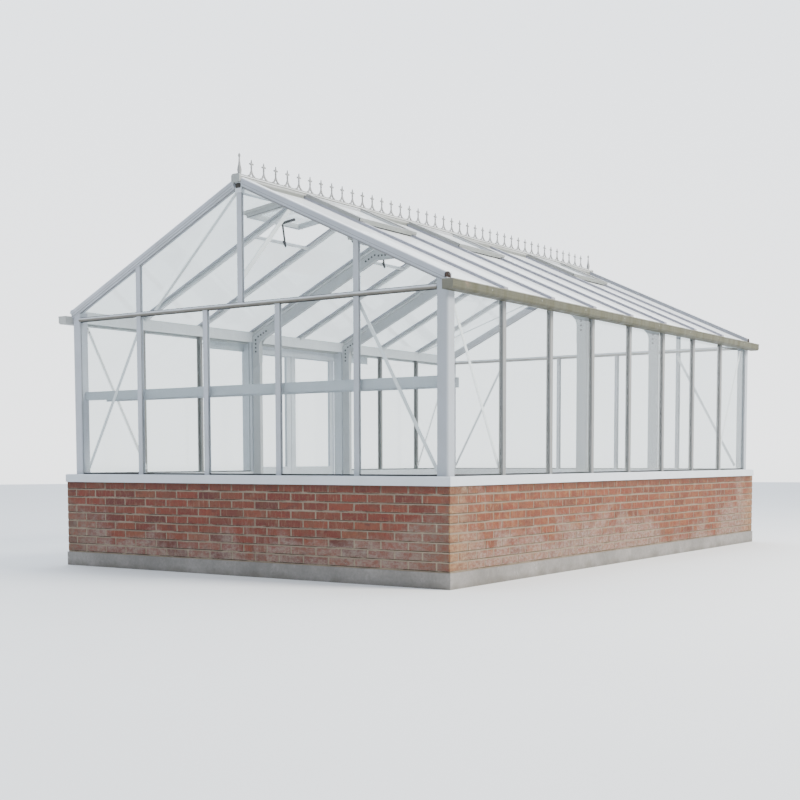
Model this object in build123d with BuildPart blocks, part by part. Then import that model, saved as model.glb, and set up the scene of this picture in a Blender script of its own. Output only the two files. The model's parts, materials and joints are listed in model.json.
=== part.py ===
from build123d import *
from math import atan2, cos, degrees, hypot, radians, sin, tan
import os

os.makedirs("parts", exist_ok=True)

# Glass greenhouse on a brick dwarf wall, in millimetres.
# X runs across the gables, Y along the ridge and Z up. The origin is on the ground,
# under the middle of the ridge. The front gable is at low Y and the door at low X.

# Bays and outline of the glass frame
bay = 742
gable_bays = 5
side_bays = 8
corner_reach = 50
half_width = gable_bays * bay / 2 + corner_reach
half_length = side_bays * bay / 2 + corner_reach

# Dwarf wall
plinth_height = 115
plinth_proud = 6
course_height = 67
course_count = 9
brick_depth = 108
wall_proud = 52
wall_top = plinth_height + course_count * course_height
wall_half_width = half_width + wall_proud
wall_half_length = half_length + wall_proud

# Sill rail on the brickwork
sill_height = 67
sill_proud = 60
sill_inside = 56
sill_chamfer = 7
sill_top = wall_top + sill_height

# Eaves, roof slope and ridge
wall_depth = 45
glass_thickness = 4
fit_gap = 0.5
eave_height = 2090
eave_beam_height = 56
eave_beam_depth = 63
eave_beam_drop = 13
pitch = 25
rise = tan(radians(pitch))
glass_drop = glass_thickness / cos(radians(pitch))
glass_ridge = eave_height + eave_beam_height + glass_drop + 1.3 + rise * half_width
ridge_beam_width = 60
ridge_beam_depth = 78
ridge_beam_drop = 12
ridge_beam_top = glass_ridge - ridge_beam_drop
ridge_beam_bottom = ridge_beam_top - ridge_beam_depth
ridge_cap_width = 76
ridge_cap_height = 54
ridge_cap_round = 16
ridge_end_width = 84
ridge_end_height = 66
ridge_end_thickness = 18
ridge_end_round = 20
cap_top = ridge_beam_top + ridge_cap_height
ridge_end_top = cap_top + 6

# Glazing bars: cap outside, web, and flange inside
cap_width = 45
cap_depth = 10
cap_recess = 5
web_width = 12
flange_width = 28
flange_depth = 4
roof_cap_depth = 20
roof_bar_depth = 26
eave_lap = 8
post_size = 88
post_round = 20
tie_rail_height = 30
tie_rail_proud = 12
tie_rail_lap = 8

# Gable rafters
rafter_depth = 66
rafter_lift = 35
rafter_proud = 14
rafter_round = 24
rafter_low = rafter_lift - rafter_depth
rafter_inner = half_length - corner_reach

# Gutters
gutter_height = 68
gutter_width = 90
gutter_wall = 3
gutter_bevel = 14
gutter_bead = 7
gutter_overhang = 75
gutter_bottom = eave_height - 26

# Portal frames inside, on the third and fifth side bars
portal_lines = (3, 5)
portal_post_depth = 88
portal_post_width = 40
portal_rafter_depth = 86
portal_drop = 12
portal_slack = 6
spacer_places = (200, 800, 1450)
spacer_length = 60
gusset_thickness = 6
gusset_reach = 210
gusset_corner = 70
gusset_foot_slant = 60
apex_reach = 500
apex_drop = 196
bolt_hole_radius = 6
bolt_count = 4
bolt_pitch = 38
bolt_start = 10
apex_bolt_start = 34
apex_level_bolts = 3

# Door: two leaves on a track outside the left wall
door_lines = (3, 5)
jamb_width = 45
jamb_proud = 57
leaf_gap = 18
leaf_thickness = 30
leaf_overlap = 18.5
leaf_meeting_gap = 6
leaf_bottom = 16
leaf_stile = 70
leaf_top_rail = 36
leaf_mid_rail = 90
leaf_bottom_rail = 90
leaf_top_gap = 12
panel_thickness = 12
track_half_length = 1350
track_drop = 78
track_board = 6
track_lip = 10
track_lip_height = 46
lip_thickness = 8
wheel_diameter = 24
wheel_width = 8
wheel_clearance = 2
axle_radius = 4
axle_length = 10
hanger_inset = 110
hanger_width = 60
hanger_thickness = 4
handle_height = 1050
handle_length = 160
handle_reach = 24
handle_bar = 10
guide_height = 30
guide_thickness = 7
guide_gap = 8
threshold_height = 8

# Roof vents in the second, fourth and seventh bay of both slopes
vent_bays = (2, 4, 7)
vent_cross_bar = 540
cross_bar_width = 24
cross_bar_depth = 18
sash_rail = 34
sash_depth = 36
sash_overlap = 28
sash_side_gap = 3
left_vent_angle = 18
opener_diameter = 26
opener_length = 150
opener_arm = 12
opener_drop = 55
opener_place_shut = 361
opener_place_open = 500

# Cresting and finials on the ridge
spikes_per_bay = 5
spike_height = 143
spike_pitch = 145.4
spike_shift = -26
spike_stem = 10
spike_foot = 58
spike_foot_height = 46
spike_arms = 34
cresting_thickness = 8
cresting_base = 14
finial_height = 170
finial_foot = 12
finial_radius = 18
finial_neck = 4
finial_knob = 7

# Flat diagonal braces
brace_width = 28
brace_thickness = 4
brace_inset = 40
brace_ridge_inset = 110
brace_eave_inset = 60
brace_rafter_inset = 30
knee_low_width = 62
knee_high_width = 47
knee_thickness = 8
knee_drop = 633
knee_run = 600

# Shelf inside the front gable
shelf_top = 1488
shelf_lip = 74
shelf_depth = 240
shelf_sheet = 4
shelf_arm_width = 20
shelf_arm_height = 50
shelf_spacer_height = 60


def side_line(number):
    """Y of a side bar's centre line, counted from the front gable."""
    return (number - side_bays / 2) * bay


def bay_middle(number):
    """Y of the middle of one side bay, the first bay being 1."""
    return (side_line(number) + side_line(number - 1)) / 2


def gable_line(number):
    """X of a gable bar's centre line, counted from the left."""
    return (number - gable_bays / 2) * bay


def roof_z(x, lift=0):
    """Height of the roof glass's outer face, or of a plane lifted square from it."""
    return glass_ridge - rise * abs(x) + lift / cos(radians(pitch))


def gable_plane(y):
    """Upright plane across the building, with X to the right and Z up."""
    return Plane.XZ.offset(-y)


def side_plane(x):
    """Upright plane along the building, with Y to the right and Z up."""
    return Plane.YZ.offset(x)


def slope_plane(side, lift):
    """Plane on one roof slope: X runs down the slope from the ridge, Y along the ridge."""
    down = (side * cos(radians(pitch)), 0, -sin(radians(pitch)))
    normal = (side * sin(radians(pitch)), 0, cos(radians(pitch)))
    return Plane(origin=(0, 0, roof_z(0)), x_dir=down, z_dir=normal).offset(lift)


def slope_outline(side, x_inner, x_outer, low, high):
    """Four corners of a strip that lies along one roof slope, seen from the gable."""
    return [
        (side * x_inner, roof_z(x_inner, low)),
        (side * x_outer, roof_z(x_outer, low)),
        (side * x_outer, roof_z(x_outer, high)),
        (side * x_inner, roof_z(x_inner, high)),
    ]


def strip(start, end, width):
    """Flat strip between two points of the sketch's plane."""
    length = hypot(end[0] - start[0], end[1] - start[1])
    angle = degrees(atan2(end[1] - start[1], end[0] - start[0]))
    middle = ((start[0] + end[0]) / 2, (start[1] + end[1]) / 2)
    with Locations(middle):
        Rectangle(length, width, rotation=angle)


def bar_layers(face):
    """Width, outer face and inner face of a wall bar's cap, web and flange."""
    inner = face - wall_depth
    cap_face = face - cap_recess
    return (
        (cap_width, cap_face, cap_face - cap_depth),
        (web_width, cap_face - cap_depth, inner + flange_depth),
        (flange_width, inner + flange_depth, inner),
    )


def save(part, name):
    """Label a finished piece and write its STEP file."""
    part.part.label = name
    export_step(part.part, f"parts/{name}.step")


# Places that several pieces share
outer_bar = gable_line(gable_bays - 1)
tie_bottom = eave_height - tie_rail_lap
tie_top = tie_bottom + tie_rail_height
doorway_half = bay - jamb_width / 2
brick_end = bay + jamb_width / 2
jamb_face = half_width + jamb_proud
leaf_inner = jamb_face + leaf_gap
leaf_outer = leaf_inner + leaf_thickness
leaf_middle = (leaf_inner + leaf_outer) / 2
leaf_width = doorway_half + leaf_overlap - leaf_meeting_gap / 2
lip_top = gutter_bottom - track_drop + track_lip_height
leaf_top = lip_top - lip_thickness - leaf_top_gap
leaf_height = leaf_top - leaf_bottom

# Plinth, flush with the brickwork inside
plinth_depth = brick_depth + plinth_proud
plinth_centre = wall_half_width + plinth_proud - plinth_depth / 2
plinth_end = wall_half_length + plinth_proud - plinth_depth
with BuildPart() as plinth_gables:
    with BuildSketch():
        for end in (1, -1):
            with Locations((0, end * (wall_half_length + plinth_proud - plinth_depth / 2))):
                Rectangle(2 * (wall_half_width + plinth_proud), plinth_depth)
    extrude(amount=plinth_height)
save(plinth_gables, "plinth_gables")

with BuildPart() as plinth_sides:
    with BuildSketch():
        with Locations((plinth_centre, 0)):
            Rectangle(plinth_depth, 2 * plinth_end)
        for end in (1, -1):
            with Locations((-plinth_centre, end * (plinth_end + brick_end) / 2)):
                Rectangle(plinth_depth, plinth_end - brick_end)
    extrude(amount=plinth_height)
save(plinth_sides, "plinth_sides")

# Brick walls, the left one split by the doorway
brick_centre = wall_half_width - brick_depth / 2
brick_side_end = wall_half_length - brick_depth
for end, name in ((-1, "brick_wall_front"), (1, "brick_wall_back")):
    with BuildPart() as brick_wall:
        with BuildSketch(Plane.XY.offset(plinth_height)):
            with Locations((0, end * (wall_half_length - brick_depth / 2))):
                Rectangle(2 * wall_half_width, brick_depth)
        extrude(amount=wall_top - plinth_height)
    save(brick_wall, name)

with BuildPart() as brick_wall_right:
    with BuildSketch(Plane.XY.offset(plinth_height)):
        with Locations((brick_centre, 0)):
            Rectangle(brick_depth, 2 * brick_side_end)
    extrude(amount=wall_top - plinth_height)
save(brick_wall_right, "brick_wall_right")

with BuildPart() as brick_walls_left:
    with BuildSketch(Plane.XY.offset(plinth_height)):
        for end in (1, -1):
            with Locations((-brick_centre, end * (brick_side_end + brick_end) / 2)):
                Rectangle(brick_depth, brick_side_end - brick_end)
    extrude(amount=wall_top - plinth_height)
save(brick_walls_left, "brick_walls_left")

# Sill rails, mitred at the corners, with a chamfered outer edge
sill_x = half_width + sill_proud
sill_y = half_length + sill_proud
sill_inner_x = half_width - sill_inside
sill_inner_y = half_length - sill_inside
with BuildPart() as sills_gable:
    with BuildSketch(Plane.XY.offset(wall_top)):
        for end in (1, -1):
            Polygon(
                (-sill_x, end * sill_y),
                (sill_x, end * sill_y),
                (sill_inner_x, end * sill_inner_y),
                (-sill_inner_x, end * sill_inner_y),
                align=None,
            )
    extrude(amount=sill_height)
    top_edges = sills_gable.edges().group_by(Axis.Z)[-1].filter_by(Axis.X)
    chamfer(top_edges.filter_by(lambda edge: abs(edge.center().Y) > half_length), sill_chamfer)
save(sills_gable, "sills_gable")

with BuildPart() as sills_side:
    with BuildSketch(Plane.XY.offset(wall_top)):
        Polygon(
            (sill_x, -sill_y),
            (sill_x, sill_y),
            (sill_inner_x, sill_inner_y),
            (sill_inner_x, -sill_inner_y),
            align=None,
        )
        for end in (1, -1):
            Polygon(
                (-sill_x, end * sill_y),
                (-sill_x, end * brick_end),
                (-sill_inner_x, end * brick_end),
                (-sill_inner_x, end * sill_inner_y),
                align=None,
            )
    extrude(amount=sill_height)
    top_edges = sills_side.edges().group_by(Axis.Z)[-1].filter_by(Axis.Y)
    chamfer(top_edges.filter_by(lambda edge: abs(edge.center().X) > half_width), sill_chamfer)
save(sills_side, "sills_side")

# Corner posts, cut to the rafters' slope, with a round outer corner
with BuildPart() as corner_posts:
    for side in (1, -1):
        for end in (1, -1):
            with BuildSketch(gable_plane(end * (half_length - post_size / 2))):
                Polygon(
                    (side * (half_width - post_size), sill_top),
                    (side * half_width, sill_top),
                    (side * half_width, roof_z(half_width, rafter_low)),
                    (side * (half_width - post_size), roof_z(half_width - post_size, rafter_low)),
                    align=None,
                )
            extrude(amount=post_size / 2, both=True)
    upright = corner_posts.edges().filter_by(Axis.Z)
    corner_radius = hypot(half_width - 1, half_length - 1)
    outer_corners = upright.filter_by(lambda edge: hypot(edge.center().X, edge.center().Y) > corner_radius)
    fillet(outer_corners, post_round)
save(corner_posts, "corner_posts")

# Tie rails across the gables at eave height, half round outside
tie_middle = (tie_bottom + tie_top) / 2
with BuildPart() as gable_tie_rails:
    for end in (1, -1):
        with BuildSketch(Plane.YZ):
            with Locations((end * (half_length - wall_depth / 2), tie_middle)):
                Rectangle(wall_depth, tie_rail_height)
            with Locations((end * half_length, tie_middle)):
                Ellipse(tie_rail_proud, tie_rail_height / 2)
        extrude(amount=half_width - post_size, both=True)
save(gable_tie_rails, "gable_tie_rails")


def gable_bar(end, x, bottom, left_top, right_top):
    """Upright gable bar whose top follows the slope above it."""
    slope = (right_top - left_top) / cap_width
    middle_top = (left_top + right_top) / 2
    with BuildPart() as bar:
        for width, outer, inner in bar_layers(half_length):
            with BuildSketch(gable_plane(end * (outer + inner) / 2)):
                Polygon(
                    (x - width / 2, bottom),
                    (x + width / 2, bottom),
                    (x + width / 2, middle_top + slope * width / 2),
                    (x - width / 2, middle_top - slope * width / 2),
                    align=None,
                )
            extrude(amount=(outer - inner) / 2, both=True)
    return bar.part


def side_bar(side, y):
    """Upright side bar between the sill and the eave beam."""
    with BuildPart() as bar:
        with BuildSketch(Plane.XY.offset(sill_top)):
            for width, outer, inner in bar_layers(half_width):
                with Locations((side * (outer + inner) / 2, y)):
                    Rectangle(outer - inner, width)
        extrude(amount=eave_height - sill_top)
    return bar.part


def roof_bar(side, y):
    """Sloping glazing bar: cap over the glass, web and flange below it to the eave beam."""
    inner = ridge_beam_width / 2 + fit_gap
    cap_start = ridge_cap_width / 2 + fit_gap
    web_end = half_width - eave_beam_depth - fit_gap
    layers = (
        (cap_width, cap_start, half_width + eave_lap, 0, roof_cap_depth),
        (web_width, inner, web_end, flange_depth - roof_bar_depth, 0),
        (flange_width, inner, web_end, -roof_bar_depth, flange_depth - roof_bar_depth),
    )
    with BuildPart() as bar:
        for width, start, stop, low, high in layers:
            with BuildSketch(gable_plane(y)):
                Polygon(*slope_outline(side, start, stop, low, high), align=None)
            extrude(amount=width / 2, both=True)
    return bar.part


def vent_cross(side, number):
    """Bar across one bay, under a vent's lower edge."""
    with BuildPart() as bar:
        with BuildSketch(slope_plane(side, -fit_gap)):
            with Locations((vent_cross_bar / cos(radians(pitch)), side * bay_middle(number))):
                Rectangle(cross_bar_width, bay - web_width - 2 * fit_gap)
        extrude(amount=-cross_bar_depth)
    return bar.part


gable_bars = []
for end in (1, -1):
    for number in range(1, gable_bays):
        gable_bars.append(gable_bar(end, gable_line(number), sill_top, tie_bottom, tie_bottom))
    for x in (outer_bar, -outer_bar):
        left_top = roof_z(x - cap_width / 2, rafter_low)
        right_top = roof_z(x + cap_width / 2, rafter_low)
        gable_bars.append(gable_bar(end, x, tie_top, left_top, right_top))
    gable_bars.append(gable_bar(end, 0, tie_top, ridge_beam_bottom, ridge_beam_bottom))
with BuildPart() as gable_mullions:
    add(gable_bars)
save(gable_mullions, "gable_mullions")

side_bars = []
for number in range(1, side_bays):
    side_bars.append(side_bar(1, side_line(number)))
    if number < door_lines[0] or number > door_lines[1]:
        side_bars.append(side_bar(-1, side_line(number)))
with BuildPart() as side_mullions:
    add(side_bars)
save(side_mullions, "side_mullions")

roof_bars = [roof_bar(side, side_line(number)) for side in (1, -1) for number in range(1, side_bays)]
vent_bars = [vent_cross(side, number) for side in (1, -1) for number in vent_bays]
with BuildPart() as glazing_bars:
    add(roof_bars)
    add(vent_bars)
save(glazing_bars, "glazing_bars")

# Eave beams between the corner posts: sloped on top, with a lip down the bars' inner faces
beam_inner = half_width - eave_beam_depth
beam_lift = -glass_thickness - fit_gap
with BuildPart() as eave_beams:
    for side in (1, -1):
        with BuildSketch(Plane.XZ):
            Polygon(
                (side * half_width, eave_height),
                (side * half_width, roof_z(half_width, beam_lift)),
                (side * beam_inner, roof_z(beam_inner, beam_lift)),
                (side * beam_inner, eave_height - eave_beam_drop),
                (side * (half_width - wall_depth), eave_height - eave_beam_drop),
                (side * (half_width - wall_depth), eave_height),
                align=None,
            )
        extrude(amount=half_length - post_size, both=True)
save(eave_beams, "eave_beams")

# Gutters: open troughs with a bead on the outer edge and closed ends
gutter_length = 2 * (half_length + gutter_overhang)
gutter_top = gutter_bottom + gutter_height


def gutter_section(side, inset):
    """Outline of a gutter, or of its hollow when inset by the wall's thickness."""
    near = half_width + inset
    far = half_width + gutter_width - inset
    low = gutter_bottom + inset
    return [
        (side * near, gutter_top),
        (side * near, low),
        (side * (far - gutter_bevel), low),
        (side * far, low + gutter_bevel),
        (side * far, gutter_top),
    ]


with BuildPart() as gutters:
    for side in (1, -1):
        with BuildSketch(Plane.XZ):
            Polygon(*gutter_section(side, 0), align=None)
        extrude(amount=gutter_length / 2, both=True)
        with BuildSketch(Plane.XZ):
            Polygon(*gutter_section(side, gutter_wall), align=None)
        extrude(amount=gutter_length / 2 - gutter_wall, both=True, mode=Mode.SUBTRACT)
        with BuildSketch(Plane.XZ):
            with Locations((side * (half_width + gutter_width - gutter_wall), gutter_top - gutter_bead)):
                RegularPolygon(gutter_bead, 8)
        extrude(amount=gutter_length / 2, both=True)
save(gutters, "gutters")

# Gable rafters, one each side of the ridge cap at both gables, rounded outside
with BuildPart() as gable_rafters:
    for end in (1, -1):
        outer = half_length + rafter_proud
        for side in (1, -1):
            start = ridge_cap_width / 2 + fit_gap
            outline = slope_outline(side, start, half_width, rafter_low, rafter_lift)
            with BuildSketch(gable_plane(end * (outer + rafter_inner) / 2)):
                Polygon(*outline, align=None)
            extrude(amount=(outer - rafter_inner) / 2, both=True)
    face_edges = gable_rafters.edges().filter_by(lambda edge: abs(edge.center().Y) > half_length)
    fillet(face_edges.filter_by(lambda edge: edge.length > half_width / 2), rafter_round)
save(gable_rafters, "gable_rafters")

# Ridge beam and ridge cap
with BuildPart() as ridge_beam:
    with BuildSketch(Plane.XZ):
        with Locations((0, ridge_beam_top - ridge_beam_depth / 2)):
            Rectangle(ridge_beam_width, ridge_beam_depth)
    extrude(amount=half_length, both=True)
save(ridge_beam, "ridge_beam")

cap_lip = ridge_beam_width / 2 + 1
with BuildPart() as ridge_cap:
    with BuildSketch(Plane.XZ):
        with Locations((0, ridge_beam_top + ridge_cap_height / 2)):
            Rectangle(ridge_cap_width, ridge_cap_height)
        for side in (1, -1):
            Polygon(
                (side * ridge_cap_width / 2, roof_z(ridge_cap_width / 2, fit_gap)),
                (side * ridge_cap_width / 2, ridge_beam_top),
                (side * cap_lip, ridge_beam_top),
                (side * cap_lip, roof_z(cap_lip, fit_gap)),
                align=None,
            )
    extrude(amount=half_length + rafter_proud, both=True)
    fillet(ridge_cap.edges().filter_by(Axis.Y).group_by(Axis.Z)[-1], ridge_cap_round)
    for end in (1, -1):
        with BuildSketch(gable_plane(end * (half_length + rafter_proud + ridge_end_thickness / 2))):
            with Locations((0, ridge_end_top - ridge_end_height / 2)):
                RectangleRounded(ridge_end_width, ridge_end_height, ridge_end_round)
        extrude(amount=ridge_end_thickness / 2, both=True)
save(ridge_cap, "ridge_cap")

# Cresting: a low rail with a row of spears, and a turned finial at each end
spike_count = side_bays * spikes_per_bay
spear = spike_height - cresting_base
arm_height = spear * 0.74
with BuildPart() as ridge_cresting:
    with BuildSketch(Plane.YZ):
        with Locations((0, cap_top + cresting_base / 2)):
            Rectangle(2 * (half_length - finial_radius), cresting_base)
        with Locations((spike_shift, cap_top + cresting_base)):
            with GridLocations(spike_pitch, 1, spike_count, 1):
                Polygon(
                    (-spike_foot / 2, 0),
                    (-spike_stem / 2, spike_foot_height),
                    (-spike_stem / 2, arm_height - spike_stem),
                    (-spike_arms / 2, arm_height),
                    (-spike_stem / 2, arm_height + spike_stem),
                    (0, spear),
                    (spike_stem / 2, arm_height + spike_stem),
                    (spike_arms / 2, arm_height),
                    (spike_stem / 2, arm_height - spike_stem),
                    (spike_stem / 2, spike_foot_height),
                    (spike_foot / 2, 0),
                    (spike_foot / 2 - spike_stem, 0),
                    (0, spike_foot_height - 2 * spike_stem),
                    (spike_stem - spike_foot / 2, 0),
                    align=None,
                )
    extrude(amount=cresting_thickness / 2, both=True)
    for end in (1, -1):
        with BuildSketch(side_plane(0)):
            with Locations((end * (half_length - finial_radius), cap_top)):
                Polygon(
                    (0, 0),
                    (finial_foot, 0),
                    (finial_radius, finial_height * 0.25),
                    (finial_neck, finial_height * 0.6),
                    (finial_neck, finial_height - 3 * finial_knob),
                    (finial_knob, finial_height - 1.5 * finial_knob),
                    (0, finial_height),
                    align=None,
                )
        revolve(axis=Axis((0, end * (half_length - finial_radius), 0), (0, 0, 1)))
save(ridge_cresting, "ridge_cresting")

# Portal frames: posts against the eave beams, and rafters hung under the roof bars on spacers
portal_outer = half_width - eave_beam_depth
portal_inner = portal_outer - portal_post_depth
portal_high = -roof_bar_depth - portal_drop
portal_low = portal_high - portal_rafter_depth
with BuildPart() as portal_posts:
    for number in portal_lines:
        for side in (1, -1):
            with BuildSketch(gable_plane(side_line(number))):
                Polygon(
                    (side * portal_inner, 0),
                    (side * portal_outer, 0),
                    (side * portal_outer, roof_z(portal_outer, portal_high)),
                    (side * portal_inner, roof_z(portal_inner, portal_high)),
                    align=None,
                )
            extrude(amount=portal_post_width / 2, both=True)
save(portal_posts, "portal_posts")

with BuildPart() as portal_rafters:
    for number in portal_lines:
        for side in (1, -1):
            start = ridge_beam_width / 2 + fit_gap
            with BuildSketch(gable_plane(side_line(number))):
                Polygon(*slope_outline(side, start, portal_inner, portal_low, portal_high), align=None)
                for place in spacer_places:
                    outline = slope_outline(side, place, place + spacer_length, portal_high, -roof_bar_depth)
                    Polygon(*outline, align=None)
            extrude(amount=portal_post_width / 2, both=True)
save(portal_rafters, "portal_rafters")

# Gusset plates on both faces of each portal frame, rounded inside the corner, with rows of holes
gusset_offset = (portal_post_width + gusset_thickness) / 2
gusset_faces = [side_line(number) + face * gusset_offset for number in portal_lines for face in (1, -1)]
gusset_top = portal_high - portal_slack
gusset_tip = portal_inner - gusset_reach * cos(radians(pitch))
gusset_side = portal_outer - portal_slack
haunch_corner = roof_z(portal_inner, portal_low)
haunch_foot = haunch_corner - gusset_reach
corner_run = portal_inner - gusset_corner * cos(radians(pitch))
bolt_lift = (portal_high + portal_low) / 2
bolt_step = bolt_pitch * cos(radians(pitch))
post_bolt_x = (portal_inner + portal_outer) / 2
with BuildPart() as haunch_gussets:
    for y in gusset_faces:
        for side in (1, -1):
            corner_low = (side * portal_inner, haunch_corner - gusset_corner)
            corner_high = (side * corner_run, roof_z(corner_run, portal_low))
            with BuildSketch(gable_plane(y)):
                with BuildLine():
                    TangentArc(corner_low, corner_high, tangent=(0, 1))
                    Polyline(
                        corner_high,
                        (side * gusset_tip, roof_z(gusset_tip, portal_low)),
                        (side * gusset_tip, roof_z(gusset_tip, gusset_top)),
                        (side * gusset_side, roof_z(gusset_side, gusset_top)),
                        (side * gusset_side, haunch_foot - gusset_foot_slant),
                        (side * portal_inner, haunch_foot),
                        corner_low,
                    )
                make_face()
                for row in range(bolt_count):
                    with Locations((side * post_bolt_x, haunch_corner + bolt_start - row * bolt_pitch)):
                        RegularPolygon(bolt_hole_radius, 6, mode=Mode.SUBTRACT)
                    hole_x = portal_inner + bolt_start - row * bolt_step
                    with Locations((side * hole_x, roof_z(hole_x, bolt_lift))):
                        RegularPolygon(bolt_hole_radius, 6, mode=Mode.SUBTRACT)
            extrude(amount=gusset_thickness / 2, both=True)
save(haunch_gussets, "haunch_gussets")

# Apex plates: level along the bottom between the two rafters
apex_level = ridge_beam_bottom - apex_drop
apex_half = (roof_z(0, portal_low) - apex_level) / rise
with BuildPart() as apex_gussets:
    for y in gusset_faces:
        beside = ridge_beam_width / 2 + fit_gap
        with BuildSketch(gable_plane(y)):
            Polygon(
                (-apex_reach, roof_z(apex_reach, portal_low)),
                (-apex_half, apex_level),
                (apex_half, apex_level),
                (apex_reach, roof_z(apex_reach, portal_low)),
                (apex_reach, roof_z(apex_reach, gusset_top)),
                (beside, roof_z(beside, gusset_top)),
                (beside, ridge_beam_bottom - fit_gap),
                (-beside, ridge_beam_bottom - fit_gap),
                (-beside, roof_z(beside, gusset_top)),
                (-apex_reach, roof_z(apex_reach, gusset_top)),
                align=None,
            )
            for side in (1, -1):
                for row in range(bolt_count):
                    hole_x = apex_half + bolt_start + row * bolt_step
                    with Locations((side * hole_x, roof_z(hole_x, bolt_lift))):
                        RegularPolygon(bolt_hole_radius, 6, mode=Mode.SUBTRACT)
                for row in range(apex_level_bolts):
                    hole_x = apex_half - apex_bolt_start - row * bolt_pitch
                    with Locations((side * hole_x, apex_level + apex_bolt_start)):
                        RegularPolygon(bolt_hole_radius, 6, mode=Mode.SUBTRACT)
        extrude(amount=gusset_thickness / 2, both=True)
save(apex_gussets, "apex_gussets")

# Diagonal braces in the end bays of all four walls
brace_corner = post_size + brace_width
with BuildPart() as wall_braces:
    for end in (1, -1):
        y = end * (half_length - wall_depth - brace_thickness / 2)
        for side in (1, -1):
            low = (side * (half_width - brace_corner), sill_top + brace_inset)
            high = (side * outer_bar, tie_bottom - brace_inset)
            with BuildSketch(gable_plane(y)):
                strip(low, high, brace_width)
            extrude(amount=brace_thickness / 2, both=True)
    for side in (1, -1):
        x = side * (half_width - wall_depth - brace_thickness / 2)
        for end in (1, -1):
            high = (end * (half_length - brace_corner), eave_height - brace_inset)
            low = (end * side_line(side_bays - 1), sill_top + brace_inset)
            with BuildSketch(side_plane(x)):
                strip(high, low, brace_width)
            extrude(amount=brace_thickness / 2, both=True)
save(wall_braces, "wall_braces")

# Braces under the end bays of the roof, and knee braces from the gables up to the ridge
eave_run = (half_width - wall_depth - brace_eave_inset) / cos(radians(pitch))
with BuildPart() as roof_braces:
    for side in (1, -1):
        for end in (1, -1):
            low = (eave_run, side * end * side_line(side_bays - 1))
            high = (brace_ridge_inset, side * end * (rafter_inner - brace_rafter_inset))
            with BuildSketch(slope_plane(side, -roof_bar_depth - brace_thickness / 2)):
                strip(low, high, brace_width)
            extrude(amount=brace_thickness / 2, both=True)
    for end in (1, -1):
        gable_face = half_length - wall_depth
        with BuildSketch(side_plane(0)):
            Polygon(
                (end * gable_face, ridge_beam_bottom - knee_drop - knee_low_width / 2),
                (end * gable_face, ridge_beam_bottom - knee_drop + knee_low_width / 2),
                (end * (gable_face - knee_run + knee_high_width / 2), ridge_beam_bottom),
                (end * (gable_face - knee_run - knee_high_width / 2), ridge_beam_bottom),
                align=None,
            )
        extrude(amount=knee_thickness / 2, both=True)
save(roof_braces, "roof_braces")

# Wall glass, between the bars' webs and behind their caps
glass_inset = cap_recess + cap_depth + glass_thickness / 2
gable_glass_y = half_length - glass_inset
side_glass_x = half_width - glass_inset
half_web = web_width / 2 + fit_gap


def gable_edges(number):
    """X of both edges of the pane in one gable bay."""
    left = gable_line(number) + half_web
    right = gable_line(number + 1) - half_web
    if number == 0:
        left = -(half_width - post_size) + fit_gap
    if number == gable_bays - 1:
        right = half_width - post_size - fit_gap
    return left, right


for end, name in ((-1, "glass_front"), (1, "glass_back")):
    with BuildPart() as gable_glass:
        for number in range(gable_bays):
            left, right = gable_edges(number)
            with BuildSketch(gable_plane(end * gable_glass_y)):
                with Locations(((left + right) / 2, (sill_top + tie_bottom) / 2)):
                    Rectangle(right - left, tie_bottom - sill_top - 2 * fit_gap)
            extrude(amount=glass_thickness / 2, both=True)
        low = tie_top + fit_gap
        lift = rafter_low - fit_gap
        corner_x = half_width - post_size - fit_gap
        beam_side = ridge_beam_width / 2 + fit_gap
        for side in (1, -1):
            with BuildSketch(gable_plane(end * gable_glass_y)):
                Polygon(
                    (side * (outer_bar + half_web), low),
                    (side * corner_x, low),
                    (side * corner_x, roof_z(corner_x, lift)),
                    (side * (outer_bar + half_web), roof_z(outer_bar + half_web, lift)),
                    align=None,
                )
                Polygon(
                    (side * half_web, low),
                    (side * (outer_bar - half_web), low),
                    (side * (outer_bar - half_web), roof_z(outer_bar - half_web, lift)),
                    (side * beam_side, roof_z(beam_side, lift)),
                    (side * beam_side, ridge_beam_bottom - fit_gap),
                    (side * half_web, ridge_beam_bottom - fit_gap),
                    align=None,
                )
            extrude(amount=glass_thickness / 2, both=True)
    save(gable_glass, name)


def side_edges(side, number):
    """Y of both edges of the pane in one side bay."""
    low = side_line(number) + half_web
    high = side_line(number + 1) - half_web
    if number == 0:
        low = -(half_length - post_size) + fit_gap
    if number == side_bays - 1:
        high = half_length - post_size - fit_gap
    if side < 0 and number == door_lines[0] - 1:
        high = side_line(number + 1) - jamb_width / 2 - fit_gap
    if side < 0 and number == door_lines[1]:
        low = side_line(number) + jamb_width / 2 + fit_gap
    return low, high


left_bays = [number for number in range(side_bays) if not door_lines[0] <= number < door_lines[1]]
for side, bays, name in ((1, range(side_bays), "glass_right"), (-1, left_bays, "glass_left")):
    with BuildPart() as side_glass:
        for number in bays:
            low, high = side_edges(side, number)
            with BuildSketch(side_plane(side * side_glass_x)):
                with Locations(((low + high) / 2, (sill_top + eave_height) / 2)):
                    Rectangle(high - low, eave_height - sill_top - 2 * fit_gap)
            extrude(amount=glass_thickness / 2, both=True)
    save(side_glass, name)

# Roof vents, hinged beside the ridge cap: the right ones are shut and the left ones open
cross_low = vent_cross_bar - cross_bar_width / 2 * cos(radians(pitch))
cross_high = vent_cross_bar + cross_bar_width / 2 * cos(radians(pitch))
sash_start = ridge_cap_width / 2 + fit_gap
sash_length = (cross_high + sash_overlap - sash_start) / cos(radians(pitch))
sash_width = bay - cap_width - 2 * sash_side_gap
sash_light = (sash_length - 2 * sash_rail, sash_width - 2 * sash_rail)


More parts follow.
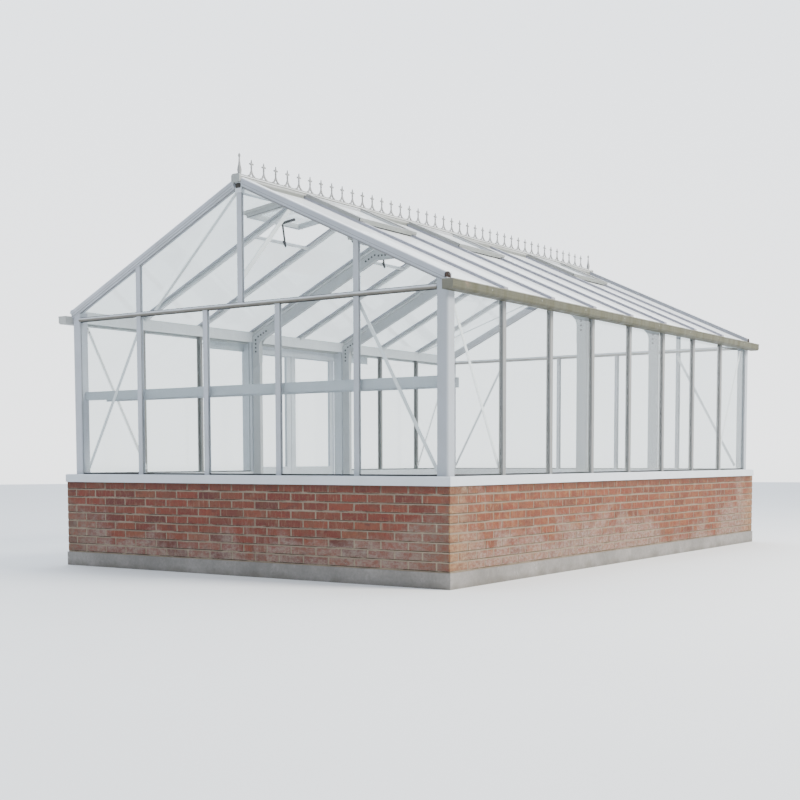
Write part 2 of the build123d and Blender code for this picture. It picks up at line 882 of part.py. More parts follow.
def sash_plane(side, number, lift):
    """Plane of one vent's sash: X runs from its hinge to its lower edge."""
    slope = pitch
    if side < 0:
        slope = pitch - left_vent_angle
    down = (side * cos(radians(slope)), 0, -sin(radians(slope)))
    normal = (side * sin(radians(slope)), 0, cos(radians(slope)))
    hinge = (side * sash_start, bay_middle(number), roof_z(sash_start, fit_gap))
    return Plane(origin=hinge, x_dir=down, z_dir=normal).offset(lift)


with BuildPart() as roof_vents:
    for side in (1, -1):
        for number in vent_bays:
            with BuildSketch(sash_plane(side, number, 0)):
                with Locations((sash_length / 2, 0)):
                    Rectangle(sash_length, sash_width)
                    Rectangle(*sash_light, mode=Mode.SUBTRACT)
            extrude(amount=sash_depth)
save(roof_vents, "roof_vents")

# Roof glass: panes from the ridge or a vent's cross bar down to the gutter, and the vents' panes
for side, name in ((1, "roof_glass_right"), (-1, "roof_glass_left")):
    with BuildPart() as roof_glass:
        for number in range(1, side_bays + 1):
            low = side_line(number - 1) + half_web
            high = side_line(number) - half_web
            if number == 1:
                low = -rafter_inner + fit_gap
            if number == side_bays:
                high = rafter_inner - fit_gap
            start = ridge_beam_width / 2 + fit_gap
            if number in vent_bays:
                start = cross_high + fit_gap
            outline = slope_outline(side, start, half_width + eave_lap - 1, -glass_thickness, 0)
            with BuildSketch(gable_plane((low + high) / 2)):
                Polygon(*outline, align=None)
            extrude(amount=(high - low) / 2, both=True)
        for number in vent_bays:
            with BuildSketch(sash_plane(side, number, sash_depth / 2)):
                with Locations((sash_length / 2, 0)):
                    Rectangle(sash_light[0] - 2 * fit_gap, sash_light[1] - 2 * fit_gap)
            extrude(amount=glass_thickness / 2, both=True)
    save(roof_glass, name)

# Vent openers: a foot on the cross bar, a strut up to the sash and a cylinder under the sash
foot_start = cross_low / cos(radians(pitch)) - fit_gap
foot_end = foot_start - opener_arm
foot_low = -opener_drop - opener_arm / 2
foot_corners = ((foot_start, -1), (foot_start, foot_low), (foot_end, foot_low), (foot_end, -1))


def slope_point(side, run, lift):
    """X and Z of a point on one slope, from its run down the slope and its lift."""
    point = slope_plane(side, lift).from_local_coords((run, 0, 0))
    return point.X, point.Z


with BuildPart() as vent_openers:
    for side, place in ((1, opener_place_shut), (-1, opener_place_open)):
        for number in vent_bays:
            y = bay_middle(number)
            sash = sash_plane(side, number, -fit_gap)
            head = sash.from_local_coords((place, 0, -opener_arm))
            with BuildSketch(gable_plane(y)):
                Polygon(*[slope_point(side, run, lift) for run, lift in foot_corners], align=None)
                joint = slope_point(side, (foot_start + foot_end) / 2, -opener_drop)
                strip(joint, (head.X, head.Z), opener_arm)
            extrude(amount=opener_arm / 2, both=True)
            start = sash.offset(-opener_diameter / 2).from_local_coords((place + opener_arm, 0, 0))
            with BuildSketch(Plane(origin=start, z_dir=-sash.x_dir)):
                RegularPolygon(opener_diameter / 2, 10)
            extrude(amount=opener_length)
save(vent_openers, "vent_openers")

# Door jambs, as deep as the brickwork
with BuildPart() as door_jambs:
    for number in door_lines:
        with BuildSketch(gable_plane(side_line(number))):
            Polygon(
                (-(half_width - wall_depth), threshold_height),
                (-jamb_face, threshold_height),
                (-jamb_face, gutter_bottom),
                (-half_width, gutter_bottom),
                (-half_width, eave_height),
                (-(half_width - wall_depth), eave_height),
                align=None,
            )
        extrude(amount=jamb_width / 2, both=True)
save(door_jambs, "door_jambs")

# Door track: a board under the gutter with a lip that the wheels run on
with BuildPart() as door_track:
    with BuildSketch(Plane.XZ):
        with Locations((-(jamb_face + track_board / 2), gutter_bottom - track_drop / 2)):
            Rectangle(track_board, track_drop)
        with Locations((-(jamb_face + track_board + track_lip / 2), lip_top - lip_thickness / 2)):
            Rectangle(track_lip, lip_thickness)
    extrude(amount=track_half_length, both=True)
save(door_track, "door_track")

# Threshold and the two bottom guide strips
guide_inner = leaf_inner - guide_gap - guide_thickness
guide_outer = leaf_outer + guide_gap + guide_thickness
plinth_face = wall_half_width + plinth_proud
with BuildPart() as door_threshold:
    with BuildSketch():
        with Locations((-(half_width - wall_depth + guide_outer) / 2, 0)):
            Rectangle(guide_outer - half_width + wall_depth, 2 * brick_end)
        with Locations((-(plinth_face + guide_outer) / 2, 0)):
            Rectangle(guide_outer - plinth_face, 2 * track_half_length)
    extrude(amount=threshold_height)
save(door_threshold, "door_threshold")

with BuildPart() as door_guides:
    with BuildSketch(Plane.XY.offset(threshold_height)):
        for x in (guide_outer - guide_thickness / 2, guide_inner + guide_thickness / 2):
            with Locations((-x, 0)):
                Rectangle(guide_thickness, 2 * track_half_length)
    extrude(amount=guide_height - threshold_height)
save(door_guides, "door_guides")

# Door leaves, each with a lower panel, a pane, two wheeled hangers and a handle
mid_rail_bottom = sill_top - leaf_mid_rail / 2
light_bottom = mid_rail_bottom + leaf_mid_rail
light_top = leaf_top - leaf_top_rail
panel_low = leaf_bottom + leaf_bottom_rail
panel_middle = (panel_low + mid_rail_bottom) / 2
inner_width = leaf_width - 2 * leaf_stile
wheel_centre = lip_top + 0.3 + wheel_diameter / 2
wheel_x = jamb_face + track_board + wheel_clearance + wheel_width / 2
hanger_x = wheel_x + wheel_width / 2 + axle_length + hanger_thickness / 2
hanger_top = wheel_centre + 2 * axle_radius
for end, name in ((-1, "near"), (1, "far")):
    y = end * (leaf_meeting_gap / 2 + leaf_width / 2)
    with BuildPart() as door_leaf:
        with BuildSketch(side_plane(-leaf_middle)):
            with Locations((y, leaf_bottom + leaf_height / 2)):
                Rectangle(leaf_width, leaf_height)
            with Locations((y, (light_bottom + light_top) / 2)):
                Rectangle(inner_width, light_top - light_bottom, mode=Mode.SUBTRACT)
            with Locations((y, panel_middle)):
                Rectangle(inner_width, mid_rail_bottom - panel_low, mode=Mode.SUBTRACT)
        extrude(amount=leaf_thickness / 2, both=True)
        with BuildSketch(side_plane(-leaf_middle)):
            with Locations((y, panel_middle)):
                Rectangle(inner_width, mid_rail_bottom - panel_low)
        extrude(amount=panel_thickness / 2, both=True)
    save(door_leaf, f"door_leaf_{name}")
    with BuildPart() as door_glass:
        with BuildSketch(side_plane(-leaf_middle)):
            with Locations((y, (light_bottom + light_top) / 2)):
                Rectangle(inner_width - 2 * fit_gap, light_top - light_bottom - 2 * fit_gap)
        extrude(amount=glass_thickness / 2, both=True)
    save(door_glass, f"door_glass_{name}")
    with BuildPart() as door_fittings:
        for place in (1, -1):
            hanger_y = y + place * (leaf_width / 2 - hanger_inset)
            with BuildSketch(side_plane(-hanger_x)):
                with Locations((hanger_y, (leaf_top + hanger_top) / 2)):
                    Rectangle(hanger_width, hanger_top - leaf_top)
            extrude(amount=hanger_thickness / 2, both=True)
            with BuildSketch(side_plane(-wheel_x)):
                with Locations((hanger_y, wheel_centre)):
                    RegularPolygon(wheel_diameter / 2, 14)
            extrude(amount=wheel_width / 2, both=True)
            with BuildSketch(side_plane(-hanger_x)):
                with Locations((hanger_y, wheel_centre)):
                    RegularPolygon(axle_radius, 8)
            extrude(amount=hanger_x - wheel_x)
        handle_y = end * (leaf_meeting_gap / 2 + leaf_stile / 2)
        with BuildSketch(gable_plane(handle_y)):
            with Locations((-(leaf_outer + handle_reach / 2), handle_height)):
                Rectangle(handle_reach, handle_length)
            with Locations((-(leaf_outer + handle_reach / 2 - handle_bar / 2), handle_height)):
                Rectangle(handle_reach - handle_bar, handle_length - 2 * handle_bar, mode=Mode.SUBTRACT)
        extrude(amount=handle_bar / 2, both=True)
    save(door_fittings, f"door_fittings_{name}")

# Shelf inside the front gable: a sheet folded down at both edges, on arms and spacers
shelf_back = half_length - wall_depth - brace_thickness - fit_gap
shelf_front = shelf_back - shelf_depth
shelf_half = half_width - post_size - fit_gap
with BuildPart() as shelf:
    with BuildSketch(Plane.YZ):
        with Locations((-(shelf_back + shelf_front) / 2, shelf_top - shelf_sheet / 2)):
            Rectangle(shelf_depth, shelf_sheet)
        for y in (shelf_back - shelf_sheet / 2, shelf_front + shelf_sheet / 2):
            with Locations((-y, shelf_top - shelf_lip / 2)):
                Rectangle(shelf_sheet, shelf_lip)
    extrude(amount=shelf_half, both=True)
save(shelf, "shelf")

arm_length = shelf_depth - 2 * shelf_sheet - 2 * fit_gap
spacer = half_length - wall_depth - shelf_back - fit_gap
shelf_middle = (shelf_back + shelf_front) / 2
arm_top = shelf_top - shelf_sheet - fit_gap
with BuildPart() as shelf_brackets:
    for number in range(1, gable_bays):
        with Locations((gable_line(number), -shelf_middle, arm_top)):
            Box(shelf_arm_width, arm_length, shelf_arm_height, align=(Align.CENTER, Align.CENTER, Align.MAX))
        with Locations((gable_line(number), -(half_length - wall_depth), shelf_top - shelf_lip / 2)):
            Box(flange_width, spacer, shelf_spacer_height, align=(Align.CENTER, Align.MIN, Align.CENTER))
save(shelf_brackets, "shelf_brackets")
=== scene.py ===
"""The glass greenhouse, dressed around its CAD frame, with its stage, light and camera."""
import json
import math
import random

import bpy
from mathutils import Matrix, Vector


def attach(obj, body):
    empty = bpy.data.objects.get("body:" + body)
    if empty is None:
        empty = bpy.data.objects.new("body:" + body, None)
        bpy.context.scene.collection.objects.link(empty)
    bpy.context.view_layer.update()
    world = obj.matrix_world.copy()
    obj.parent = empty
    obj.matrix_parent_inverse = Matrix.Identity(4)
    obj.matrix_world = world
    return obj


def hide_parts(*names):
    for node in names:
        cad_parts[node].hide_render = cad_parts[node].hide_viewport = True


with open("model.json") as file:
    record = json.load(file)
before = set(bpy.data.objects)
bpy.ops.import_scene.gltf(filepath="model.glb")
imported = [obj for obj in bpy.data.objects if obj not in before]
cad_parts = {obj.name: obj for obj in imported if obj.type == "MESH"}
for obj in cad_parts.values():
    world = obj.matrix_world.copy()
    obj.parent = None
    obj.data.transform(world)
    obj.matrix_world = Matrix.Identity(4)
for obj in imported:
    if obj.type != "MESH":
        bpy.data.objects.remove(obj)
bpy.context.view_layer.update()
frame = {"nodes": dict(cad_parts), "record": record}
random.seed(11)

# Sizes in metres, as in the frame
BAY = 0.742
SIDE_BAYS = 8
GABLE_BAYS = 5
HALF_W = 1.905
HALF_L = 3.018
PITCH = math.radians(25)
RISE = math.tan(PITCH)
SILL_TOP = 0.785
EAVE = 2.090
TIE_LOW = 2.082
TIE_TOP = 2.112
BAR_HALF = 0.0225
POST_SIZE = 0.088
WALL_DEPTH = 0.045
PANE_INSET = 0.015
EAVE_BEAM_HEIGHT = 0.056
EAVE_BEAM_DEPTH = 0.063
GLASS_DROP = 0.004 / math.cos(PITCH)
GLASS_SEAT = 0.0013
GLASS_RIDGE = EAVE + EAVE_BEAM_HEIGHT + GLASS_DROP + GLASS_SEAT + RISE * HALF_W
CAP_TOP = GLASS_RIDGE + 0.042
PORTAL_BARS = (3, 5)
PORTAL_POST_DEPTH = 0.088
PORTAL_OUTER = HALF_W - EAVE_BEAM_DEPTH
PORTAL_INNER = PORTAL_OUTER - PORTAL_POST_DEPTH

# Brick walls on their plinth, with the doorway in the left one
PLINTH = 0.115
WALL_TOP = 0.718
WALL_X = 1.957
WALL_Y = 3.070
BRICK_DEPTH = 0.108
COURSE = 0.067
COURSES = 9
JOINT = 0.012
DOOR_END = 0.7645

# Roof vents, each down to a cross bar: shut on the right slope, open on the left one
VENT_BAYS = (2, 4, 7)
VENT_OPEN = math.radians(18)
VENT_HINGE = 0.0385
CROSS_BAR = 0.540
CROSS_BAR_HALF = 0.012
SASH_GAP = 0.003
SASH_OVERLAP = 0.028
VENT_LOW = CROSS_BAR + CROSS_BAR_HALF * math.cos(PITCH)
VENT_REACH = (BAY - 2 * BAR_HALF - 2 * SASH_GAP) / 2
VENT_LENGTH = (VENT_LOW + SASH_OVERLAP - VENT_HINGE) / math.cos(PITCH)


def side_y(number):
    """Place of an upright bar in the long sides, and of the roof bar above it."""
    return (number - SIDE_BAYS / 2) * BAY


def gable_x(number):
    """Place of an upright bar in the gables."""
    return (number - GABLE_BAYS / 2) * BAY


def roof_z(x, lift=0.0):
    """Height of the roof's glass, or of a point lifted square off it."""
    return GLASS_RIDGE - RISE * abs(x) + lift / math.cos(PITCH)


# Mesh building
PLAIN_TONE = (0.5, 0.5, 0.5, 1.0)
NO_EDGE = (1.0, 1.0, 1.0, 1.0)


class Build:
    """Collects faces, each with a material number and a tone.

    Each point also keeps its distances to the edges of its brick face.
    """

    def __init__(self):
        self.verts = []
        self.faces = []
        self.mats = []
        self.tones = []
        self.places = []

    def add(self, verts, faces, mat=0, tone=PLAIN_TONE):
        start = len(self.verts)
        self.verts.extend(verts)
        self.places.extend([NO_EDGE] * len(verts))
        for face in faces:
            self.faces.append([start + i for i in face])
            self.mats.append(mat)
            self.tones.append(tone)

    def box(self, lo, hi, edge=0.0, mat=0, tone=PLAIN_TONE, turn=None):
        """A box between two corners with its twelve edges cut back, moved by a matrix."""
        c = [(a + b) / 2 for a, b in zip(lo, hi)]
        h = [abs(b - a) / 2 for a, b in zip(lo, hi)]
        e = min(edge, min(h) * 0.9)
        verts = []
        index = {}

        def key_of(axis, end, a, b):
            key = [a, b]
            key.insert(axis, end)
            return axis, tuple(key)

        for axis in range(3):
            u, v = [k for k in range(3) if k != axis]
            for s in (1, -1):
                for a in (1, -1):
                    for b in (1, -1):
                        p = [0.0, 0.0, 0.0]
                        p[axis] = s * h[axis]
                        p[u] = a * (h[u] - e)
                        p[v] = b * (h[v] - e)
                        index[key_of(axis, s, a, b)] = len(verts)
                        verts.append(p)
        faces = []

        def put(ids):
            pts = [Vector(verts[i]) for i in ids]
            normal = (pts[1] - pts[0]).cross(pts[2] - pts[0])
            middle = sum(pts, Vector()) / len(pts)
            faces.append(ids if normal.dot(middle) > 0 else ids[::-1])

        for axis in range(3):
            u, v = [k for k in range(3) if k != axis]
            for s in (1, -1):
                corners = ((1, 1), (-1, 1), (-1, -1), (1, -1))
                put([index[key_of(axis, s, a, b)] for a, b in corners])
            if e > 0:
                for a in (1, -1):
                    for b in (1, -1):
                        ids = []
                        for face_axis, end in ((u, 1), (u, -1), (v, -1), (v, 1)):
                            ids.append(index[(face_axis, key_of(axis, end, a, b)[1])])
                        put(ids)
        if e > 0:
            for a in (1, -1):
                for b in (1, -1):
                    for d in (1, -1):
                        put([index[(axis, (a, b, d))] for axis in range(3)])
        moved = [Vector(p) + Vector(c) for p in verts]
        if turn is not None:
            moved = [turn @ p for p in moved]
        self.add([tuple(p) for p in moved], faces, mat, tone)

    def prism(self, outline, direction, mat=0):
        """A closed outline of 3-D points, run along a direction."""
        n = len(outline)
        near = [Vector(p) for p in outline]
        far = [p + Vector(direction) for p in near]
        faces = [list(range(n))[::-1], [n + i for i in range(n)]]
        faces += [[i, (i + 1) % n, n + (i + 1) % n, n + i] for i in range(n)]
        if (near[1] - near[0]).cross(near[2] - near[0]).dot(Vector(direction)) < 0:
            faces = [f[::-1] for f in faces]
        self.add([tuple(p) for p in near + far], faces, mat)

    def slope_strip(self, side, start, stop, lifts, y, depth, mat=0):
        """A flat bar down one slope, between two lifts off the glass, run along Y."""
        corners = ((start, lifts[0]), (stop, lifts[0]), (stop, lifts[1]), (start, lifts[1]))
        outline = [(side * x, y, roof_z(x, lift)) for x, lift in corners]
        self.prism(outline, (0, depth, 0), mat)

    def lathe(self, centre, axis, profile, steps, mat=0):
        """Rings of a given distance and radius about an axis."""
        axis = Vector(axis).normalized()
        side = axis.orthogonal().normalized()
        other = axis.cross(side)
        verts = []
        for distance, radius in profile:
            for k in range(steps):
                t = 2 * math.pi * k / steps
                p = Vector(centre) + axis * distance
                p += (side * math.cos(t) + other * math.sin(t)) * radius
                verts.append(tuple(p))
        faces = []
        for ring in range(len(profile) - 1):
            for k in range(steps):
                a = ring * steps + k
                b = ring * steps + (k + 1) % steps
                faces.append([a, b, b + steps, a + steps])
        faces.append(list(range(steps))[::-1])
        last = (len(profile) - 1) * steps
        faces.append([last + k for k in range(steps)])
        self.add(verts, faces, mat)

    def make(self, name, materials, smooth=False):
        mesh = bpy.data.meshes.new(name)
        mesh.from_pydata(self.verts, [], self.faces)
        mesh.polygons.foreach_set("material_index", self.mats)
        layer = mesh.color_attributes.new("tone", "FLOAT_COLOR", "CORNER")
        values = []
        for face, tone in zip(self.faces, self.tones):
            values.extend(tone * len(face))
        layer.data.foreach_set("color", values)
        if any(place != NO_EDGE for place in self.places):
            layer = mesh.color_attributes.new("edge", "FLOAT_COLOR", "POINT")
            values = [value for place in self.places for value in place]
            layer.data.foreach_set("color", values)
        for material in materials:
            mesh.materials.append(material)
        mesh.update()
        obj = bpy.data.objects.new(name, mesh)
        bpy.context.scene.collection.objects.link(obj)
        if smooth:
            for polygon in mesh.polygons:
                polygon.use_smooth = True
            modifier = obj.modifiers.new("edges", "EDGE_SPLIT")
            modifier.split_angle = math.radians(38)
        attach(obj, "root")
        return obj


# Materials
class Nodes:
    """Short names for the nodes of one shader tree."""

    def __init__(self, tree, output):
        self.tree = tree
        self.tree.nodes.clear()
        self.out = self.node(output)

    def node(self, kind, inputs=None, **values):
        node = self.tree.nodes.new("ShaderNode" + kind)
        for key, value in values.items():
            setattr(node, key, value)
        for key, source in (inputs or {}).items():
            self.link(source, node.inputs[key])
        return node

    def link(self, source, target):
        """Feeds an output or a fixed value into an input; colours come without alpha."""
        if isinstance(source, bpy.types.NodeSocket):
            self.tree.links.new(source, target)
        elif target.type == "RGBA":
            target.default_value = (*source, 1.0)
        else:
            target.default_value = source

    def ramp(self, value, low, high, to_low=0.0, to_high=1.0, **values):
        node = self.node("MapRange", {
            "Value": value,
            "From Min": low,
            "From Max": high,
            "To Min": to_low,
            "To Max": to_high,
        }, **values)
        return node.outputs["Result"]

    def math(self, operation, a, b=0.0, clamp=False):
        node = self.node("Math", {0: a, 1: b}, operation=operation, use_clamp=clamp)
        return node.outputs[0]

    def times(self, a, b, clamp=False):
        return self.math("MULTIPLY", a, b, clamp)

    def plus(self, a, b, clamp=False):
        return self.math("ADD", a, b, clamp)

    def color_ramp(self, value, stops):
        """Colour along a value from 0 to 1, from a list of places and colours."""
        node = self.node("ValToRGB", {0: value})
        elements = node.color_ramp.elements
        elements[0].color = (*stops[0][1], 1.0)
        elements[1].color = (*stops[-1][1], 1.0)
        for place, color in stops[1:-1]:
            elements.new(place).color = (*color, 1.0)
        return node.outputs[0]


class Shade(Nodes):
    """One material, with the patterns that its finish is made of."""

    def __init__(self, name):
        self.material = bpy.data.materials.new(name)
        self.material.use_nodes = True
        super().__init__(self.material.node_tree, "OutputMaterial")

    def noise(self, scale, detail=4.0, rough=0.55, stretch=(1, 1, 1), distort=0.0):
        coords = self.node("TexCoord").outputs["Object"]
        mapping = self.node("Mapping", {"Scale": stretch, "Vector": coords})
        node = self.node("TexNoise", {
            "Scale": scale,
            "Detail": detail,
            "Roughness": rough,
            "Distortion": distort,
            "Vector": mapping.outputs["Vector"],
        })
        return node.outputs["Fac"]

    def axis(self, name):
        coords = self.node("TexCoord").outputs["Object"]
        return self.node("SeparateXYZ", {0: coords}).outputs[name]

    def off_middle(self, name):
        return self.math("ABSOLUTE", self.axis(name))

    def channels(self, attribute):
        """The three channels and the alpha of a colour attribute of the mesh."""
        node = self.node("Attribute", attribute_name=attribute)
        split = self.node("SeparateColor", {0: node.outputs["Color"]})
        return (*split.outputs, node.outputs["Alpha"])

    def mix(self, factor, a, b):
        node = self.node("Mix", {"Factor": factor, 6: a, 7: b}, data_type="RGBA")
        return node.outputs[2]

    def patch(self, under, tint, share, low, high, noise):
        """Patches of a tint over a colour, up to a share, where a noise passes two limits."""
        mask = self.ramp(self.noise(*noise), low, high, 0.0, share)
        return self.mix(mask, under, tint)

    def bump(self, height, strength, distance, under=None):
        node = self.node("Bump", {"Strength": strength, "Distance": distance, "Height": height})
        if under is not None:
            self.link(under, node.inputs["Normal"])
        return node.outputs["Normal"]

    def surface(self, color, roughness, metallic=0.0, normal=None, specular=0.5):
        node = self.node("BsdfPrincipled", {
            "Base Color": color,
            "Roughness": roughness,
            "Metallic": metallic,
            "Specular IOR Level": specular,
        })
        if normal is not None:
            self.link(normal, node.inputs["Normal"])
        self.link(node.outputs[0], self.out.inputs["Surface"])

    def coat(self, color, smooth, rough, peel=(420.0, 0.05, 0.0006)):
        """Powder coat of uneven gloss, with a fine peel: its scale, strength and depth."""
        gloss = self.ramp(self.noise(14.0), 0.3, 0.7, smooth, rough)
        scale, strength, depth = peel
        normal = self.bump(self.noise(scale, 2.0), strength, depth)
        self.surface(color, gloss, normal=normal)
        return self.material


def coated(name, color, dirt, amount, roughness=0.34, left=None):
    """Powder-coated metal with a film of dirt, and another colour towards the left."""
    s = Shade(name)
    if left:
        color = s.mix(s.ramp(s.axis("X"), -0.6, 1.9), left, color)
    patches = s.ramp(s.noise(2.6, 6.0, 0.62), 0.42, 0.74)
    specks = s.ramp(s.noise(90.0, 3.0, 0.6), 0.58, 0.75)
    film = s.plus(s.times(patches, amount), s.times(specks, amount * 0.35), True)
    return s.coat(s.mix(film, color, dirt), roughness - 0.06, roughness + 0.12)


white_paint = coated("white powder coat", (0.60, 0.64, 0.69), (0.36, 0.37, 0.33), 0.22)
# Frame coat: a darker copy of the white coat, painted shade, lighter towards the left, under a film
# of dirt
frame_paint = coated("weathered frame coat in painted shade", (0.345, 0.375, 0.415), (0.27, 0.28, 0.25), 0.28,
                     left=(0.475, 0.50, 0.555))
# Side mullions: a dark copy of the white coat, painted shade, under a film of dust
side_paint = coated("dusty side coat in painted shade", (0.200, 0.205, 0.205), (0.165, 0.165, 0.140), 0.5)
# Parts inside: a lighter copy of the white coat, painted light for their shaded faces
inside_paint = coated("inside coat in painted light", (0.80, 0.82, 0.83), (0.52, 0.52, 0.48), 0.25)
shelf_paint = coated("shelf coat", (0.44, 0.48, 0.52), (0.34, 0.35, 0.34), 0.25)
# Vent cover sides: a grey copy of the white coat, painted shade, with dirt
skirt_paint = coated("weathered skirt coat in painted shade", (0.33, 0.33, 0.315), (0.20, 0.205, 0.18), 0.5, 0.45)
portal_paint = coated("portal coat", (0.455, 0.475, 0.49), (0.34, 0.345, 0.33), 0.3)
foot_paint = coated("weathered foot board coat", (0.30, 0.315, 0.30), (0.20, 0.21, 0.18), 0.5,
                    0.45)
cresting_paint = coated("weathered cresting coat", (0.30, 0.305, 0.305), (0.19, 0.195, 0.175),
                        0.6, 0.55)
vent_paint = coated("weathered vent coat", (0.58, 0.595, 0.61), (0.27, 0.28, 0.25), 0.5, 0.42)
mill_metal = coated("mill aluminium", (0.55, 0.56, 0.57), (0.30, 0.29, 0.27), 0.5, 0.38)


def level_ramp(s, stops):
    """Colour by height, from a list of heights and colours."""
    low, high = stops[0][0], stops[-1][0]
    wobble = s.ramp(s.noise(5.0), 0.3, 0.7, -0.0016, 0.0016)
    height = s.ramp(s.plus(s.axis("Z"), wobble), low, high)
    return s.color_ramp(height, [((z - low) / (high - low), color) for z, color in stops])


def gutter_finish():
    """Beige-grey coat, olive-stained lower down, with painted light: a highlit rim and shaded
    grooves.
    """
    s = Shade("stained gutter coat with painted light")
    # Bands by height: a painted highlight on the rolled rim, painted shadow in the dark grooves,
    # and painted shade darkening the stained underside
    tone = level_ramp(s, (
        (2.062, (0.024, 0.023, 0.012)),
        (2.072, (0.040, 0.039, 0.022)),
        (2.079, (0.056, 0.056, 0.034)),
        (2.091, (0.074, 0.074, 0.049)),
        (2.096, (0.034, 0.034, 0.021)),
        (2.101, (0.092, 0.092, 0.062)),
        (2.1065, (0.048, 0.048, 0.031)),
        (2.113, (0.104, 0.104, 0.074)),
        (2.117, (0.038, 0.037, 0.026)),
        (2.121, (0.125, 0.123, 0.090)),
        (2.132, (0.200, 0.193, 0.155)),
    ))
    tone = s.patch(tone, (0.066, 0.066, 0.038), 0.50, 0.40, 0.66, (1.1, 5.0, 0.6, (1, 1, 4)))
    runs = s.ramp(s.noise(9.0, 6.0, 0.7, (1.0, 1.6, 0.35)), 0.40, 0.70)
    tone = s.mix(s.times(runs, 0.35), tone, (0.050, 0.048, 0.028))
    tone = s.patch(tone, (0.26, 0.15, 0.10), 0.5, 0.63, 0.74, (3.4, 5.0, 0.7, (1, 1, 3)))
    # Lighter towards the far end
    far_end_lighter = s.ramp(s.axis("Y"), -2.0, 1.5, 0.0, 0.35)
    tone = s.mix(far_end_lighter, tone, (0.082, 0.078, 0.048))
    end_cap = s.math("GREATER_THAN", s.off_middle("Y"), 3.0925)
    tone = s.mix(s.times(end_cap, 0.45), tone, (0.22, 0.215, 0.19))
    tone = s.mix(0.22, tone, (0.100, 0.096, 0.046))
    left = s.ramp(s.axis("X"), -0.5, 0.5, 0.85, 0.0)
    tone = s.mix(left, tone, (0.50, 0.51, 0.50))
    rough = s.ramp(runs, 0.0, 1.0, 0.45, 0.75)
    s.surface(tone, rough, normal=s.bump(runs, 0.15, 0.001))
    return s.material


def tie_finish():
    """White coat on the upper half of the tie rails, olive grey below and darkest at the bottom
    edge.
    """
    s = Shade("tie rail coat darker below")
    tone = level_ramp(s, (
        (2.080, (0.070, 0.066, 0.050)),
        (2.090, (0.135, 0.126, 0.104)),
        (2.097, (0.240, 0.232, 0.210)),
        (2.101, (0.580, 0.605, 0.640)),
        (2.114, (0.620, 0.650, 0.690)),
    ))
    tone = s.patch(tone, (0.25, 0.25, 0.21), 0.4, 0.55, 0.75, (70.0, 4.0, 0.65))
    return s.coat(tone, 0.34, 0.50)


def ridge_finish():
    """Painted light: a pale top, a painted shadow at the shoulder, grey-green sides and fine ribs
    in shade.
    """
    s = Shade("weathered ridge coat with painted light")
    # Bands by height: the pale top is painted light, the dark seam a painted shadow line, and the
    # darker sides and ribs painted shade
    tone = level_ramp(s, (
        (3.018, (0.190, 0.200, 0.185)),
        (3.030, (0.240, 0.250, 0.235)),
        (3.0345, (0.150, 0.158, 0.145)),
        (3.038, (0.250, 0.260, 0.245)),
        (3.0425, (0.170, 0.178, 0.165)),
        (3.046, (0.270, 0.280, 0.265)),
        (3.0535, (0.430, 0.440, 0.430)),
        (3.0625, (0.450, 0.460, 0.450)),
        (3.0645, (0.060, 0.062, 0.055)),
        (3.0675, (0.065, 0.066, 0.060)),
        (3.0700, (0.560, 0.570, 0.560)),
        (3.0820, (0.620, 0.630, 0.625)),
    ))
    end_face = s.math("GREATER_THAN", s.off_middle("Y"), 3.0325)
    tone = s.mix(end_face, tone, (0.325, 0.345, 0.335))
    tone = s.patch(tone, (0.17, 0.18, 0.145), 0.45, 0.42, 0.72, (3.0, 6.0, 0.65))
    return s.coat(tone, 0.45, 0.60, (320.0, 0.06, 0.0008))


def slope_finish(name, inside, outside, high, top=None):
    """Coat that changes with the height above the glass: lighter inside, darker on the roof."""
    s = Shade(name)
    drop = s.times(s.off_middle("X"), RISE)
    lift = s.math("SUBTRACT", s.plus(s.axis("Z"), drop), GLASS_RIDGE)
    tone = s.mix(s.ramp(lift, 0.0, high), inside, outside)
    if top:
        tone = s.mix(s.ramp(s.axis("X"), -1.9, 0.2, 0.75, 0.0), tone, (0.58, 0.60, 0.655))
        # Painted shade: darker on the far gable, whose rafters' inner faces are shaded
        tone = s.mix(s.ramp(s.axis("Y"), -1.0, 1.0, 0.0, 0.6), tone, (0.235, 0.24, 0.285))
        # Painted highlight along the rafters' top edge, strong on the near gable and faint on the
        # far one
        wear_and_highlight = s.ramp(s.axis("Y"), -1.0, 1.0, 1.0, 0.10)
        tone = s.mix(s.times(s.ramp(lift, 0.0295, 0.0345), wear_and_highlight), tone, top)
    tone = s.patch(tone, (0.25, 0.255, 0.235), 0.30, 0.42, 0.72, (3.0, 6.0, 0.65))
    tone = s.patch(tone, (0.20, 0.20, 0.18), 0.12, 0.58, 0.75, (90.0, 3.0, 0.6))
    return s.coat(tone, 0.32, 0.48)


# Bars: the light coat inside is painted light, the grey-violet coat on the roof painted shade
bar_paint = slope_finish("roof bar coat", (0.80, 0.81, 0.82), (0.33, 0.33, 0.375), 0.002)
# Rafters: darker copies of the white coat, painted shade, with a painted highlight on the top edge
rafter_paint = slope_finish("gable rafter coat", (0.39, 0.42, 0.465), (0.375, 0.40, 0.45), 0.01,
                            (0.74, 0.77, 0.80))
gutter_coat = gutter_finish()
tie_coat = tie_finish()
ridge_paint = ridge_finish()


